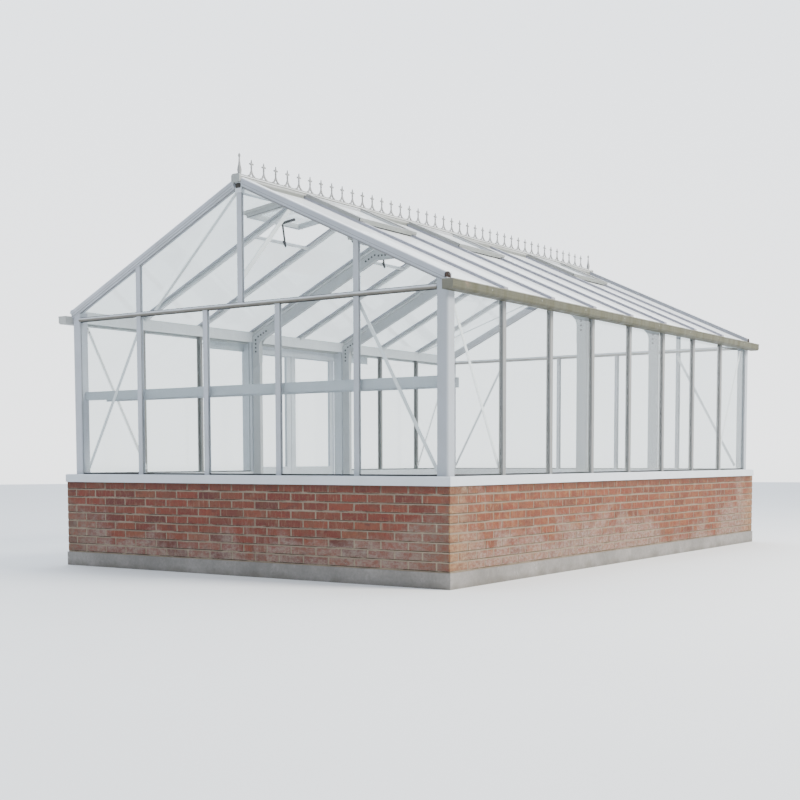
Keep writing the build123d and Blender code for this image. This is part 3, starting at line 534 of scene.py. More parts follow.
def concrete_finish():
    """Rendered plinth with stains, pits, pale bloom and a dark foot."""
    s = Shade("rendered plinth")
    stains = s.ramp(s.noise(1.8, 7.0, 0.65), 0.35, 0.68)
    tone = s.mix(stains, (0.19, 0.18, 0.17), (0.31, 0.295, 0.28))
    pits = s.noise(42.0, 6.0, 0.7)
    tone = s.mix(s.ramp(pits, 0.35, 0.7, 0.0, 0.45), tone, (0.14, 0.135, 0.125))
    bloom = (5.0, 7.0, 0.7, (1, 1, 1), 0.6)
    tone = s.patch(tone, (0.47, 0.46, 0.45), 0.55, 0.60, 0.74, bloom)
    wobble = s.ramp(s.noise(6.0, 5.0), 0.3, 0.7, -0.03, 0.03)
    foot = s.ramp(s.plus(s.axis("Z"), wobble), 0.0, 0.05, 0.5, 0.0)
    tone = s.mix(foot, tone, (0.11, 0.10, 0.08))
    normal = s.bump(s.noise(160.0, 4.0, 0.8), 0.35, 0.0012, s.bump(pits, 0.5, 0.003))
    s.surface(tone, 0.9, normal=normal, specular=0.25)
    return s.material


concrete = concrete_finish()


def corner_mask(s, reach):
    """One at the wall's corners, fading out along both faces."""
    near = []
    for name, edge in (("X", WALL_X), ("Y", WALL_Y)):
        near.append(s.ramp(s.off_middle(name), edge - reach, edge - 0.02))
    return s.times(*near, True)


def side_mask(s):
    """One on the outer faces of the two long walls."""
    return s.math("GREATER_THAN", s.off_middle("X"), WALL_X - 0.012)


def smear_mask(s):
    """Mortar smeared over the bricks, most on the low courses and at the corners."""
    wide = s.noise(1.5, 7.0, 0.68, distort=0.8)
    level = s.plus(wide, s.ramp(s.axis("Z"), 0.12, 0.60, 0.215, -0.065))
    level = s.plus(level, s.times(corner_mask(s, 0.55), 0.22))
    cloud = s.ramp(level, 0.55, 0.69, 0.0, 0.90)
    smear = s.ramp(s.noise(22.0, 6.0, 0.72, (1, 1, 1.8)), 0.42, 0.60, 0.30, 1.0)
    fine = s.ramp(s.noise(140.0, 4.0, 0.75), 0.35, 0.65, 0.60, 1.0)
    return s.times(s.times(cloud, smear), fine, True)


def brick_finish():
    """Sandy red brick: each brick has its own tone, fire marks, ragged edges and smears."""
    s = Shade("red brick")
    on_side = side_mask(s)
    red, dark, light, _ = s.channels("tone")
    color = s.mix(red, (0.150, 0.036, 0.030), (0.275, 0.072, 0.047))
    color = s.mix(s.times(light, 0.85), color, (0.330, 0.150, 0.080))
    color = s.mix(s.times(dark, 0.85), color, (0.055, 0.030, 0.034))

    # Fire marks, soot, olive patches, mottling and sand
    for tint, share, low, high, noise in (
        ((0.062, 0.034, 0.034), 0.62, 0.57, 0.66, (7.5, 5.0, 0.6, (1, 1, 2.0), 0.5)),
        ((0.034, 0.028, 0.034), 0.72, 0.63, 0.68, (4.1, 5.0, 0.62, (1.1, 1.1, 3.2), 0.7)),
        ((0.155, 0.092, 0.058), 0.50, 0.53, 0.62, (5.3, 6.0, 0.68, (1.2, 1.2, 2.6), 0.6)),
        ((0.110, 0.040, 0.032), 0.50, 0.30, 0.70, (38.0, 6.0, 0.7, (1, 1, 1), 0.4)),
        ((0.29, 0.16, 0.115), 0.50, 0.50, 0.66, (300.0, 3.0, 0.8)),
    ):
        color = s.patch(color, tint, share, low, high, noise)

    # Mortar that laps over each brick's ragged edge
    ends = s.channels("edge")
    near = s.math("MINIMUM", s.math("MINIMUM", *ends[:2]), s.math("MINIMUM", *ends[2:]))
    ragged = s.ramp(s.noise(46.0, 5.0, 0.7), 0.30, 0.70, -0.0070, 0.0065)
    rim = s.ramp(s.math("SUBTRACT", near, ragged), 0.0015, 0.0050, 0.85, 0.0)
    color = s.mix(rim, color, (0.240, 0.185, 0.138))

    # Darker red all over, then buff patches, streaks and pale runs
    deep = s.mix(on_side, (0.120, 0.036, 0.030), (0.118, 0.044, 0.022))
    color = s.mix(s.ramp(on_side, 0.0, 1.0, 0.30, 0.48), color, deep)
    # The buff patches are lighter on the long walls than on the gables: painted light and shade
    buff = s.mix(on_side, (0.165, 0.080, 0.056), (0.255, 0.130, 0.058))
    for tint, share, low, high, noise in (
        (buff, 0.55, 0.50, 0.66, (11.0, 6.0, 0.7, (1, 1, 1.6), 0.6)),
        ((0.100, 0.048, 0.040), 0.42, 0.50, 0.66, (85.0, 4.0, 0.65, (1, 1, 0.16))),
        ((0.300, 0.215, 0.150), 0.45, 0.56, 0.70, (60.0, 4.0, 0.65, (1, 1, 0.14))),
    ):
        color = s.patch(color, tint, share, low, high, noise)

    # Shadow under the sill, and smeared mortar
    wobble = s.ramp(s.noise(6.0, 5.0, 0.6), 0.3, 0.7, -0.02, 0.02)
    sill_shadow = s.ramp(s.plus(s.axis("Z"), wobble), 0.640, 0.715, 0.0, 0.55)
    color = s.mix(sill_shadow, color, (0.062, 0.034, 0.026))
    # Near the corners the smears are lighter on the long walls than on the gables: painted light
    # and shade
    stain = s.mix(on_side, (0.145, 0.115, 0.090), (0.300, 0.205, 0.110))
    stain = s.mix(corner_mask(s, 0.45), (0.275, 0.232, 0.200), stain)
    color = s.mix(smear_mask(s), color, stain)
    rough = s.ramp(s.noise(60.0, 3.0), 0.3, 0.7, 0.82, 0.97)
    normal = s.bump(s.noise(70.0, 6.0, 0.75), 0.55, 0.0035)
    normal = s.bump(s.noise(330.0, 4.0, 0.85), 0.5, 0.0012, normal)
    s.surface(color, rough, normal=normal, specular=0.22)
    return s.material


def mortar_finish():
    """Brown-grey mortar, with painted shadow in the top of the bed joints where it has washed out.
    """
    s = Shade("lime mortar")
    cloud = s.ramp(s.noise(7.0, 6.0, 0.65), 0.3, 0.7)
    base = s.mix(cloud, (0.190, 0.150, 0.112), (0.310, 0.255, 0.196))
    grain = s.noise(260.0, 5.0, 0.8)
    base = s.mix(s.ramp(grain, 0.4, 0.7, 0.0, 0.4), base, (0.13, 0.11, 0.09))
    base = s.mix(s.times(smear_mask(s), 0.8), base, (0.33, 0.27, 0.20))
    level = s.math("DIVIDE", s.math("SUBTRACT", s.axis("Z"), PLINTH), COURSE)
    course = s.math("FRACT", level)
    # Painted shadow at the top of each bed joint, under the brick above
    top = s.ramp(course, 0.085, 0.130)
    bed = s.math("LESS_THAN", course, JOINT / COURSE + 0.012)
    open_joint = s.ramp(s.noise(2.6, 6.0, 0.66, (1, 1, 3.0)), 0.42, 0.52)
    bed_joint_shadow = s.times(s.times(top, bed), open_joint, True)
    base = s.mix(s.times(bed_joint_shadow, 0.92), base, (0.022, 0.017, 0.013))
    base = s.mix(s.times(side_mask(s), 0.35), base, (0.165, 0.125, 0.085))
    # Painted shadow under the sill
    under_sill = s.ramp(s.axis("Z"), 0.660, 0.710, 0.0, 0.75)
    base = s.mix(under_sill, base, (0.045, 0.032, 0.024))
    s.surface(base, 0.95, normal=s.bump(grain, 0.6, 0.002), specular=0.2)
    return s.material


brick_red = brick_finish()
mortar = mortar_finish()


def glass_finish(name, tint, film_color, dust, stretch, low_edge=None, glare=0.0):
    """Clear pane: see-through by its angle, with a thin film of dust and dried runs.

    The film can thicken above a low edge, and at shallow angles by a glare, partly dust and partly
    painted sheen.
    """
    s = Shade(name)
    wave = s.bump(s.noise(1.3, 1.0), 0.06, 0.01)
    clear = s.node("BsdfTransparent", {"Color": tint})
    gloss = s.node("BsdfGlossy", {"Color": (0.96, 0.98, 0.98), "Roughness": 0.02, "Normal": wave})
    behind = s.node("NewGeometry").outputs["Backfacing"]
    index = s.ramp(behind, 0.0, 1.0, 1.5, 1 / 1.5)
    fresnel = s.node("Fresnel", {"IOR": index, "Normal": wave}).outputs[0]
    pane = s.node("MixShader", {0: fresnel, 1: clear.outputs[0], 2: gloss.outputs[0]})
    film = s.node("BsdfDiffuse", {"Color": film_color})
    runs = s.ramp(s.noise(16.0, 6.0, 0.65, stretch), 0.38, 0.74)
    cloud = s.ramp(s.noise(2.2, 5.0, 0.6), 0.30, 0.72, 0.25, 1.0)
    cover = s.times(s.times(runs, cloud), dust)
    if low_edge:
        cover = s.plus(cover, s.ramp(s.axis("Z"), low_edge, low_edge + 0.10, dust * 1.6, 0.0), True)
    # Painted sheen: more white film at shallow angles, partly dust seen edge-on
    if glare:
        facing = s.node("LayerWeight", {"Blend": 0.5}).outputs["Facing"]
        cover = s.plus(cover, s.ramp(facing, 0.76, 0.93, 0.0, glare), True)
    dusty = s.node("MixShader", {0: cover, 1: pane.outputs[0], 2: film.outputs[0]})
    s.link(dusty.outputs[0], s.out.inputs["Surface"])
    return s.material


wall_glass = glass_finish("wall glass", (0.955, 0.970, 0.972), (0.72, 0.76, 0.70), 0.03,
                          (1, 1, 0.16), low_edge=SILL_TOP)
# The roof's whiter, heavier film and its glare are partly dust and partly a painted sheen of sky
# glint
roof_glass = glass_finish("roof glass", (0.945, 0.962, 0.965), (0.86, 0.88, 0.89), 0.12,
                          (0.16, 1, 0.16), glare=0.60)


def plain(name, color, roughness, metallic=0.0):
    """One colour, lighter and rougher where it is worn."""
    s = Shade(name)
    wear_and_highlight = s.ramp(s.noise(120.0), 0.35, 0.7)
    lighter = tuple(min(1.0, c * 1.7 + 0.01) for c in color)
    tone = s.mix(s.times(wear_and_highlight, 0.5), color, lighter)
    rough = s.ramp(wear_and_highlight, 0.0, 1.0, roughness - 0.08, roughness + 0.1)
    s.surface(tone, rough, metallic, s.bump(wear_and_highlight, 0.1, 0.0006))
    return s.material


# Black rubber for the gaskets, also painted shadow in the gaps under the vents
rubber_and_gap_shadow = plain("black gasket and gap shadow", (0.022, 0.023, 0.023), 0.62)
black_metal = plain("black opener", (0.018, 0.018, 0.02), 0.35, 0.2)
grey_gasket = plain("grey gasket", (0.215, 0.22, 0.225), 0.6)
# Grey-violet strips beside the roof bars' caps: painted shade for the caps' shaded sides
bar_side_shade = plain("painted bar side shade", (0.285, 0.285, 0.33), 0.6)
# Dark grey strips: painted shade in the gable rafters' grooves
groove_shadow_grey = plain("shadowed groove", (0.145, 0.15, 0.165), 0.55)
clip_metal = plain("weathered clip", (0.215, 0.215, 0.185), 0.5)
dark_plug = plain("dark end plug", (0.026, 0.015, 0.011), 0.75)
bolt_steel = plain("bolt steel", (0.045, 0.044, 0.043), 0.42, 0.4)
# Dark parts, and also painted shade in the ridge beam's recessed ends and the vents' corner gaps
dark_parts_and_shade = plain("dark parts and painted shade", (0.030, 0.028, 0.024), 0.7)

# Finishes on the CAD pieces: by node, and otherwise by material slot
finish_of_slot = {
    "gutter_aluminium": gutter_coat,
    "concrete": concrete,
    "glass": wall_glass,
    "black_metal": black_metal,
    "mill_aluminium": mill_metal,
}
finish_of_node = {
    "roof_glass_left": roof_glass,
    "roof_glass_right": roof_glass,
    "ridge_cap": ridge_paint,
    "corner_posts": frame_paint,
    "gable_mullions": frame_paint,
    "side_mullions": side_paint,
    "eave_beams": inside_paint,
    "wall_braces": inside_paint,
    "roof_braces": inside_paint,
    "shelf": shelf_paint,
    "shelf_brackets": shelf_paint,
    "portal_posts": portal_paint,
    "portal_rafters": portal_paint,
    "haunch_gussets": portal_paint,
    "apex_gussets": portal_paint,
    "glazing_bars": bar_paint,
    "gable_rafters": rafter_paint,
    "roof_vents": vent_paint,
    "ridge_cresting": cresting_paint,
    "gable_tie_rails": tie_coat,
}
slots = {row["node"]: row["material_slot"] for row in frame["record"]["subparts"]}
for node, obj in frame["nodes"].items():
    finish = finish_of_node.get(node) or finish_of_slot.get(slots[node], white_paint)
    obj.data.materials.clear()
    obj.data.materials.append(finish)


# Brickwork in stretcher bond, one brick at a time
def course_spans(length, bricks, course, doorway):
    """Start and end of each brick: a course covers one of its wall's corners, by turns."""
    module = (length - BRICK_DEPTH) / bricks
    start = 0.0 if course % 2 == 0 else BRICK_DEPTH + JOINT
    spans = []
    for k in range(bricks):
        lo = start + k * module
        spans.append([lo, lo + module - JOINT])
    if doorway:
        near, far = doorway
        smallest = 0.05
        before = [[lo, min(hi, near)] for lo, hi in spans if lo < near]
        after = [[max(lo, far), hi] for lo, hi in spans if hi > far]
        if before[-1][1] - before[-1][0] < smallest:
            before.pop()
        if after[0][1] - after[0][0] < smallest:
            after.pop(0)
        before[-1][1] = near
        after[0][0] = far
        spans = before + after
    return spans


def brick_tone():
    """How red a brick is, how dark and how light."""
    red = random.betavariate(2.2, 2.0)
    dark = random.random() ** 9 if random.random() < 0.93 else random.uniform(0.35, 1.0)
    light = max(0.0, random.gauss(0.05, 0.25))
    return (red, dark, min(1.0, light), 1.0)


def lay_brick(b, corner, along, inward, lo, hi, course):
    """One brick, a little off its place, with each point's distances to its face's edges."""
    base = PLINTH + course * COURSE + JOINT
    top = base + COURSE - JOINT
    slack, edge, sill_gap = 0.0011, 0.0022, 0.0002
    off = [random.uniform(0, slack) for _ in range(6)]
    p = corner + along * (lo + off[0]) + inward * off[1]
    q = corner + along * (hi - off[2]) + inward * (BRICK_DEPTH - off[3])
    p.z = base + off[4]
    q.z = WALL_TOP - sill_gap if course == COURSES - 1 else top - off[5]
    first = len(b.verts)
    b.box(p, q, edge, 0, brick_tone())
    per_axis = 8
    for i in range(first, len(b.verts)):
        place = Vector(b.verts[i]) - corner
        reached = place.dot(along)
        ends = (reached - lo, hi - reached)
        on_end = abs(along[(i - first) // per_axis]) > 0.5
        if on_end:
            depth = place.dot(inward)
            ends = (depth, BRICK_DEPTH - depth)
        b.places[i] = (*ends, b.verts[i][2] - base, top - b.verts[i][2])


def brickwork():
    """The four walls of bricks, and the mortar as plain walls a little inside their faces."""
    b = Build()
    doorway = (WALL_Y - DOOR_END, WALL_Y + DOOR_END)
    walls = (
        # corner, direction along the wall, inward direction, length, bricks, doorway
        ((-WALL_X, -WALL_Y), (1, 0, 0), (0, 1, 0), 2 * WALL_X, 16, None),
        ((WALL_X, -WALL_Y), (0, 1, 0), (-1, 0, 0), 2 * WALL_Y, 25, None),
        ((WALL_X, WALL_Y), (-1, 0, 0), (0, -1, 0), 2 * WALL_X, 16, None),
        ((-WALL_X, WALL_Y), (0, -1, 0), (1, 0, 0), 2 * WALL_Y, 25, doorway),
    )
    for corner, along, inward, length, bricks, gap in walls:
        directions = Vector((*corner, 0)), Vector(along), Vector(inward)
        for course in range(COURSES):
            for lo, hi in course_spans(length, bricks, course, gap):
                lay_brick(b, *directions, lo, hi, course)
    back = 0.0035
    inner_x = WALL_X - BRICK_DEPTH
    inner_y = WALL_Y - BRICK_DEPTH
    top = WALL_TOP - 0.0005
    for end in (1, -1):
        b.box((-WALL_X + back, end * (WALL_Y - back), PLINTH),
              (WALL_X - back, end * (inner_y + back), top), 0, 1)
        b.box((-WALL_X + back, end * DOOR_END, PLINTH),
              (-inner_x - back, end * (inner_y + back), top), 0, 1)
    b.box((inner_x + back, -inner_y - back, PLINTH), (WALL_X - back, inner_y + back, top), 0, 1)
    return b.make("brickwork", [brick_red, mortar])


bricks = brickwork()
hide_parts("brick_wall_front", "brick_wall_back", "brick_wall_right", "brick_walls_left")


# Small pieces on the frame
def gaskets():
    """Black seals along sills and rails, grey ones beside the bars, and strips of painted shade on
    the roof.
    """
    b = Build()
    width = 0.0045
    thick = 0.003
    sill_seal = 0.012
    rail_seal = 0.006
    post_x = HALF_W - POST_SIZE
    post_y = HALF_L - POST_SIZE

    def beside(place, size=width):
        low, high = place - BAR_HALF, place + BAR_HALF
        return (low - size, low), (high, high + size)

    for end in (1, -1):
        y, y_far = sorted((end * (HALF_L - PANE_INSET), end * (HALF_L - PANE_INSET + thick)))
        edges = [span for n in range(1, GABLE_BAYS) for span in beside(gable_x(n))]
        edges += [(-post_x, -post_x + width), (post_x - width, post_x)]
        for lo, hi in edges:
            b.box((lo, y, SILL_TOP), (hi, y_far, TIE_LOW), mat=1)
        for low, high in ((SILL_TOP, SILL_TOP + sill_seal), (TIE_LOW - rail_seal, TIE_LOW),
                          (TIE_TOP, TIE_TOP + rail_seal)):
            b.box((-post_x, y, low), (post_x, y_far, high))
        outer = gable_x(GABLE_BAYS - 1)
        for x in (-outer, 0.0, outer):
            for lo, hi in beside(x):
                top = roof_z(max(abs(lo), abs(hi)), -0.034)
                b.box((lo, y, TIE_TOP), (hi, y_far, top), mat=1)
        for side in (1, -1):
            b.slope_strip(side, 0.03, post_x, (-0.031, -0.040), y, y_far - y, 1)

    for side in (1, -1):
        x, x_far = side * (HALF_W - PANE_INSET), side * (HALF_W - PANE_INSET + thick)
        bars = range(1, SIDE_BAYS) if side > 0 else (1, 2, 6, 7)
        for n in bars:
            for lo, hi in beside(side_y(n)):
                b.box((x, lo, SILL_TOP), (x_far, hi, EAVE), mat=1)
        panes = ((-post_y, post_y),) if side > 0 else ((-post_y, -DOOR_END), (DOOR_END, post_y))
        for lo, hi in panes:
            b.box((x, lo, SILL_TOP), (x_far, hi, SILL_TOP + sill_seal))
            b.box((x, lo, EAVE - rail_seal), (x_far, hi, EAVE))
            b.box((x, lo, SILL_TOP), (x_far, lo + width, EAVE), mat=1)
            b.box((x, hi - width, SILL_TOP), (x_far, hi, EAVE), mat=1)

    # Roof: a strip on both sides of every bar's cap, from the ridge or from a vent's foot
    # The strips are painted shade for the shaded sides of the bars' caps
    strip = 0.0095
    lifts = (0.0, 0.019)
    cap_edge = 0.039
    eave_end = HALF_W + 0.006
    for side in (1, -1):
        for n in range(1, SIDE_BAYS):
            for (y, _), bay in zip(beside(side_y(n), strip), (n, n + 1)):
                start = VENT_LOW if bay in VENT_BAYS else cap_edge
                b.slope_strip(side, start, eave_end, lifts, y, strip, 2)
    b.make("glazing_gaskets", [rubber_and_gap_shadow, grey_gasket, bar_side_shade])


def gusset_bolts():
    """Bolt heads over the holes of the gusset plates, on both faces of both portal frames."""
    b = Build()
    spacing = 0.038
    step = spacing * math.cos(PITCH)
    start, apex_start = 0.010, 0.034
    bar_depth, drop, rafter_depth = 0.026, 0.012, 0.086
    high = -bar_depth - drop
    low = high - rafter_depth
    corner = roof_z(PORTAL_INNER, low)
    post_x = (PORTAL_INNER + PORTAL_OUTER) / 2
    ridge_beam_bottom, apex_drop = 2.950, 0.196
    level = ridge_beam_bottom - apex_drop
    half = (roof_z(0.0, low) - level) / RISE
    points = []
    for row in range(4):
        points.append((post_x, corner + start - row * spacing))
        for x in (PORTAL_INNER + start - row * step, half + start + row * step):
            points.append((x, roof_z(x, (high + low) / 2)))
    for row in range(3):
        points.append((half - apex_start - row * spacing, level + apex_start))
    plate_face = 0.0262
    radius = 0.0105
    head = ((0.0, radius), (0.0035, radius), (0.005, radius * 0.8))
    for number in PORTAL_BARS:
        for face in (1, -1):
            y = side_y(number) + face * plate_face
            for x, z in points:
                for side in (1, -1):
                    b.lathe((side * x, y, z), (0, face, 0), head, 6)
    b.make("gusset_bolts", [bolt_steel])


def rafter_ends():
    """Plugs in the open lower ends of the gable rafters: dark right, painted left."""
    face, depth = 1.8935, 0.014
    middle, level, foot = 3.012, 2.163, 2.152
    half_width, rise, steps = 0.030, 0.029, 12
    screw = ((0.0, 0.009), (0.002, 0.009), (0.003, 0.006))
    for side, name, finish in ((1, "rafter_plugs_right", dark_plug),
                               (-1, "rafter_plugs_left", white_paint)):
        b = Build()
        for end in (1, -1):
            outline = []
            for k in range(steps + 1):
                t = math.pi * k / steps
                y = end * (middle + half_width * math.cos(t))
                outline.append((y, level + rise * math.sin(t)))
            outline += [(end * (middle - half_width), foot), (end * (middle + half_width), foot)]
            b.prism([(side * face, y, z) for y, z in outline], (side * depth, 0, 0))
            b.lathe((side * (face + depth), end * middle, 2.173), (side, 0, 0), screw, 14, 1)
        b.make(name, [finish, bolt_steel])


def ridge_end_shade():
    """Dark plates on the ends of the ridge beam between the rafters' heads: painted shade for the
    recess.
    """
    b = Build()
    face, depth = 3.0178, 0.0014
    section = ((-0.030, 3.021), (0.030, 3.021), (0.027, 2.992),
               (0.022, 2.984), (-0.022, 2.984), (-0.027, 2.992))
    for end in (1, -1):
        b.prism([(x, end * face, z) for x, z in section], (0, end * depth, 0))
    b.make("ridge_beam_end_shade", [dark_parts_and_shade])


def rafter_groove_shadows():
    """Dark strips along the front of the gable rafters: painted shade for the grooves where the
    section's lips meet.

    The upper ones lie on the face, and the lower ones stand 11 mm in front of it.
    """
    b = Build()
    face, depth = 3.0318, 0.0007
    start, stop = 0.050, HALF_W - 0.010
    for end in (1, -1):
        for side in (1, -1):
            for lift, width in ((-0.006, 0.0032), (-0.0255, 0.0036)):
                lifts = (lift, lift - width)
                b.slope_strip(side, start, stop, lifts, end * face, end * depth)
    b.make("rafter_groove_shadows", [groove_shadow_grey])


def cresting_castings():
    """Buds, a collar and flared feet cast on each spear, and the turned end finials."""
    b = Build()
    spears, spacing, shift, height = 40, 0.1454, -0.026, 0.129
    half_thickness = 0.0043
    base = CAP_TOP + 0.014
    arms = base + height * 0.74
    up = (0, 0, 1)
    side_bud = ((0.0, 0.0035), (0.003, 0.0060), (0.007, 0.0068), (0.0095, 0.0034))
    top_bud = ((0.0, 0.0040), (0.004, 0.0062), (0.010, 0.0058), (0.022, 0.0020))
    collar = ((0.0, 0.0055), (0.002, 0.0078), (0.006, 0.0078), (0.008, 0.0055))
    stem = ((0.0, 0.0064), (arms - base - 0.064, 0.0062))
    flare = ((0.0045, 0.052), (0.0085, 0.036), (0.0165, 0.021), (0.0280, 0.0105), (0.0400, 0.006),
             (0.0400, 0.0), (0.0290, 0.0), (0.0180, 0.010), (0.0100, 0.020), (0.0045, 0.034))
    for k in range(spears):
        y = shift + (k - (spears - 1) / 2) * spacing
        for way in (1, -1):
            b.lathe((0.0, y + way * 0.0135, arms), (0, way, 0), side_bud, 8)
            outline = [(-half_thickness, y + way * u, base + v) for u, v in flare]
            b.prism(outline, (2 * half_thickness, 0, 0))
        b.lathe((0.0, y, arms - 0.030), up, collar, 8)
        b.lathe((0.0, y, arms + 0.006), up, top_bud, 8)
        b.lathe((0.0, y, base + 0.036), up, stem, 8)
    turned = ((0.0, 0.0178), (0.018, 0.0150), (0.040, 0.0098), (0.066, 0.0068), (0.096, 0.0056),
              (0.099, 0.0082), (0.103, 0.0094), (0.111, 0.0096), (0.117, 0.0084), (0.122, 0.0052),
              (0.1272, 0.0018))
    for end in (1, -1):
        b.lathe((0.0, end * (HALF_L - 0.018), CAP_TOP + 0.0425), up, turned, 16)
    b.make("cresting_castings", [cresting_paint])


def vent_places():
    """The side of every vent, and the matrix that puts it on its hinge, shut or open."""
    for side in (1, -1):
        slope = PITCH if side > 0 else PITCH - VENT_OPEN
        for number in VENT_BAYS:
            hinge = (side * VENT_HINGE, side_y(number - 0.5), roof_z(VENT_HINGE, 0.0005))
            yield side, Matrix.Translation(hinge) @ Matrix.Rotation(side * slope, 4, "Y")


def vent_fittings():
    """Hinge knuckles at the top corners of every vent, and black strips round its foot: painted
    shadow in the gap under it.
    """
    b = Build()
    near, far = 0.0002, 0.0028
    low, high = 0.0005, 0.0085
    for side, place in vent_places():
        for edge in (1, -1):
            inner, outer = edge * (VENT_REACH + near), edge * (VENT_REACH + far)
            b.box((side * 0.002, inner, 0.004), (side * 0.026, outer, 0.034), 0.0006, turn=place)
            # Black strip along each side's foot: painted shadow in the gap under the vent
            b.box((side * 0.028, inner, low), (side * (VENT_LENGTH + 0.0025), outer, high),
                  0.0004, 1, turn=place)
        # Black strip across the foot: painted shadow in the gap under the vent
        b.box((side * (VENT_LENGTH + near), -VENT_REACH, low),
              (side * (VENT_LENGTH + far), VENT_REACH, high), 0.0004, 1, turn=place)
    b.make("vent_fittings", [dark_parts_and_shade, rubber_and_gap_shadow])


def vent_covers():
    """Pressed covers round the vents: sides that lap over the bars, and a board at the foot."""
    b = Build()
    skin = 0.0022
    top = 0.046
    lip = 0.0362
    inner = VENT_REACH - 0.016
    outer = BAY / 2 + BAR_HALF + 0.0048
    foot = VENT_LENGTH + 0.006
    back = VENT_LENGTH - 0.018
    for side, place in vent_places():

        def plate(x, y, z, mat=0):
            lo, hi = (side * x[0], y[0], z[0]), (side * x[1], y[1], z[1])
            b.box(lo, hi, 0.0007, mat, turn=place)

        for edge in (1, -1):
            along = (0.004, foot)
            plate(along, (edge * (outer + 0.0002), edge * (outer + 0.0002 + skin)), (0.018, top))
            plate(along, (edge * inner, edge * (outer + skin)), (top - skin, top))
            plate(along, (edge * inner, edge * (inner + skin)), (lip, top))
            # Dark strips at the foot's corners: painted shade in the gap between side and board
            plate((foot - 0.007, foot - 0.001),
                  (edge * (outer + skin + 0.0004), edge * (outer + skin + 0.0016)),
                  (0.012, top - 0.004), 1)
        across = (-VENT_REACH, VENT_REACH)
        plate((foot, foot + skin), (-outer - skin, outer + skin), (0.0225, top), 2)
        plate((foot - 0.0005, foot + skin - 0.0005), across, (0.0095, 0.0225), 2)
        plate((back, foot + skin), across, (top - skin, top))
        plate((back, back + skin), across, (lip, top))
    b.make("vent_covers", [skirt_paint, dark_parts_and_shade, foot_paint])


def gutter_clips():
    """Small clips before the gutters' faces, one to a bay.

    The right ones stand 2 mm off their gutter and the left ones 37 mm off theirs.
    """
    b = Build()
    thickness, half_width, low, high = 0.002, 0.006, 2.098, 2.108
    for side, face in ((1, HALF_W + 0.094), (-1, -HALF_W - 0.129)):
        for n in range(SIDE_BAYS):
            y = side_y(n) + 0.396
            back = face - side * thickness
            b.box((face, y - half_width, low), (back, y + half_width, high), 0.0005)
    b.make("gutter_clips", [clip_metal])


def pane_clips():
    """Folded clips that hold the lower end of each roof pane beside its bar."""
    b = Build()
    x = HALF_W + 0.0045
    for side in (1, -1):
        for n in range(1, SIDE_BAYS):
            for edge in (1, -1):
                place = Matrix.Translation((side * x, side_y(n) + edge * 0.034, roof_z(x)))
                turn = place @ Matrix.Rotation(side * PITCH, 4, "Y")
                b.box((-0.009, -0.009, 0.0002), (0.003, 0.009, 0.0035), 0.0006, turn=turn)
    b.make("pane_clips", [dark_parts_and_shade])


def brace_screws():
    """Round screw heads at both ends of the diagonal braces in the gables and the sides."""
    b = Build()
    head = ((0.0, 0.0055), (0.0018, 0.005), (0.003, 0.003))
    width, thickness, inset = 0.028, 0.004, 0.040
    plane = WALL_DEPTH + thickness
    corner = POST_SIZE + width

    def screws(one, other, axis):
        for p, q in ((one, other), (other, one)):
            for distance in (0.018, 0.050):
                b.lathe(p + (q - p).normalized() * distance, axis, head, 10)

    for end in (1, -1):
        for side in (1, -1):
            y = end * (HALF_L - plane)
            screws(Vector((side * (HALF_W - corner), y, SILL_TOP + inset)),
                   Vector((side * gable_x(GABLE_BAYS - 1), y, TIE_LOW - inset)), (0, -end, 0))
    for side in (1, -1):
        for end in (1, -1):
            x = side * (HALF_W - plane)
            screws(Vector((x, end * (HALF_L - corner), EAVE - inset)),
                   Vector((x, end * side_y(SIDE_BAYS - 1), SILL_TOP + inset)), (-side, 0, 0))
    b.make("brace_screws", [bolt_steel], smooth=True)


gaskets()
gusset_bolts()
rafter_ends()
ridge_end_shade()
rafter_groove_shadows()
cresting_castings()
vent_fittings()
vent_covers()
gutter_clips()
pane_clips()
brace_screws()

# Floor
FLOOR_RADIUS = 38
FLOOR_STEPS = 96
turns = [2 * math.pi * k / FLOOR_STEPS for k in range(FLOOR_STEPS)]
ring = [(FLOOR_RADIUS * math.cos(t), FLOOR_RADIUS * math.sin(t), 0.0) for t in turns]
floor_mesh = bpy.data.meshes.new("floor")
floor_mesh.from_pydata(ring, [], [list(range(FLOOR_STEPS))])
floor = bpy.data.objects.new("floor", floor_mesh)
bpy.context.scene.collection.objects.link(floor)
pale = Shade("pale floor")
floor_tone = pale.mix(pale.noise(0.6, 3.0), (0.79, 0.79, 0.78), (0.83, 0.83, 0.82))
pale.surface(floor_tone, 0.85, specular=0.2)
floor_mesh.materials.append(pale.material)

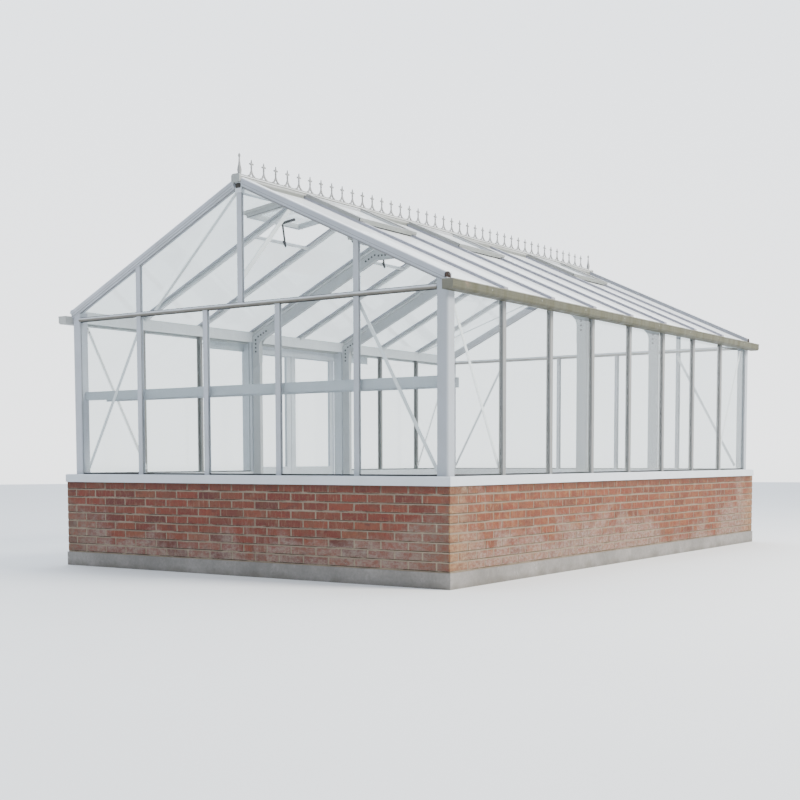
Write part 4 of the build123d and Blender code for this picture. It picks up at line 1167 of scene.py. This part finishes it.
# Sky: pale at the horizon, brightest behind the house and overhead
world = bpy.data.worlds.new("soft sky")
bpy.context.scene.world = world
world.use_nodes = True
sky = Nodes(world.node_tree, "OutputWorld")
gaze = sky.node("TexCoord").outputs["Generated"]
height = sky.node("SeparateXYZ", {0: gaze}).outputs["Z"]
sky_color = sky.color_ramp(sky.ramp(height, -0.1, 1.0), (
    (0.0, (0.80, 0.81, 0.82)),
    (0.10, (0.92, 0.935, 0.95)),
    (1.0, (0.62, 0.72, 0.86)),
))
toward = sky.node("VectorMath", {0: gaze, 1: (-0.57, 0.82, 0.05)}, operation="DOT_PRODUCT")
smooth = {"interpolation_type": "SMOOTHSTEP"}
behind_house = sky.ramp(toward.outputs["Value"], -0.1, 0.9, 0.80, 3.0, **smooth)
overhead = sky.ramp(height, 0.30, 0.75, 1.0, 1.8, **smooth)
back = sky.node("Background", {0: sky_color, 1: sky.times(behind_house, overhead)})
sky.link(back.outputs[0], sky.out.inputs[0])


# Lights
def area_light(name, place, target, size, watts, color):
    data = bpy.data.lights.new(name, "AREA")
    data.shape = "SQUARE"
    data.size = size
    data.energy = watts
    data.color = color
    obj = bpy.data.objects.new(name, data)
    obj.location = place
    direction = Vector(target) - Vector(place)
    obj.rotation_euler = direction.to_track_quat("-Z", "Y").to_euler()
    bpy.context.scene.collection.objects.link(obj)
    return obj


key = area_light("key", (13.0, 1.0, 9.5), (0.5, 0.0, 1.0), 4.5, 4200, (1.0, 0.95, 0.87))
key.visible_glossy = False
area_light("fill", (-2.0, -14.0, 7.0), (0.0, 0.0, 1.2), 6.0, 220, (0.90, 0.95, 1.0))

# Camera, as fitted to the photo; lengths in pixels of the picture
YAW = 0.6045
TILT = -0.0697
ROLL = -0.0026
PICTURE = 800.0
FOCAL = 1263.61
SHIFTED_MIDDLE = 547.36
SENSOR = 36.0
forward = Vector((
    -math.sin(YAW) * math.cos(TILT),
    math.cos(YAW) * math.cos(TILT),
    math.sin(TILT),
))
right = Vector((math.cos(YAW), math.sin(YAW), 0.0))
up = right.cross(forward)
turned_right = right * math.cos(ROLL) + up * math.sin(ROLL)
turned_up = up * math.cos(ROLL) - right * math.sin(ROLL)
rotation = Matrix((turned_right, turned_up, -forward)).transposed()
camera_data = bpy.data.cameras.new("camera")
camera_data.sensor_width = SENSOR
camera_data.lens = FOCAL * SENSOR / PICTURE
camera_data.shift_y = (SHIFTED_MIDDLE - PICTURE / 2) / PICTURE
camera_data.clip_end = 200.0
camera = bpy.data.objects.new("camera", camera_data)
camera.matrix_world = Matrix.Translation((6.6199, -10.4288, 0.9057)) @ rotation.to_4x4()
bpy.context.scene.collection.objects.link(camera)
bpy.context.scene.camera = camera

bpy.context.view_layer.update()
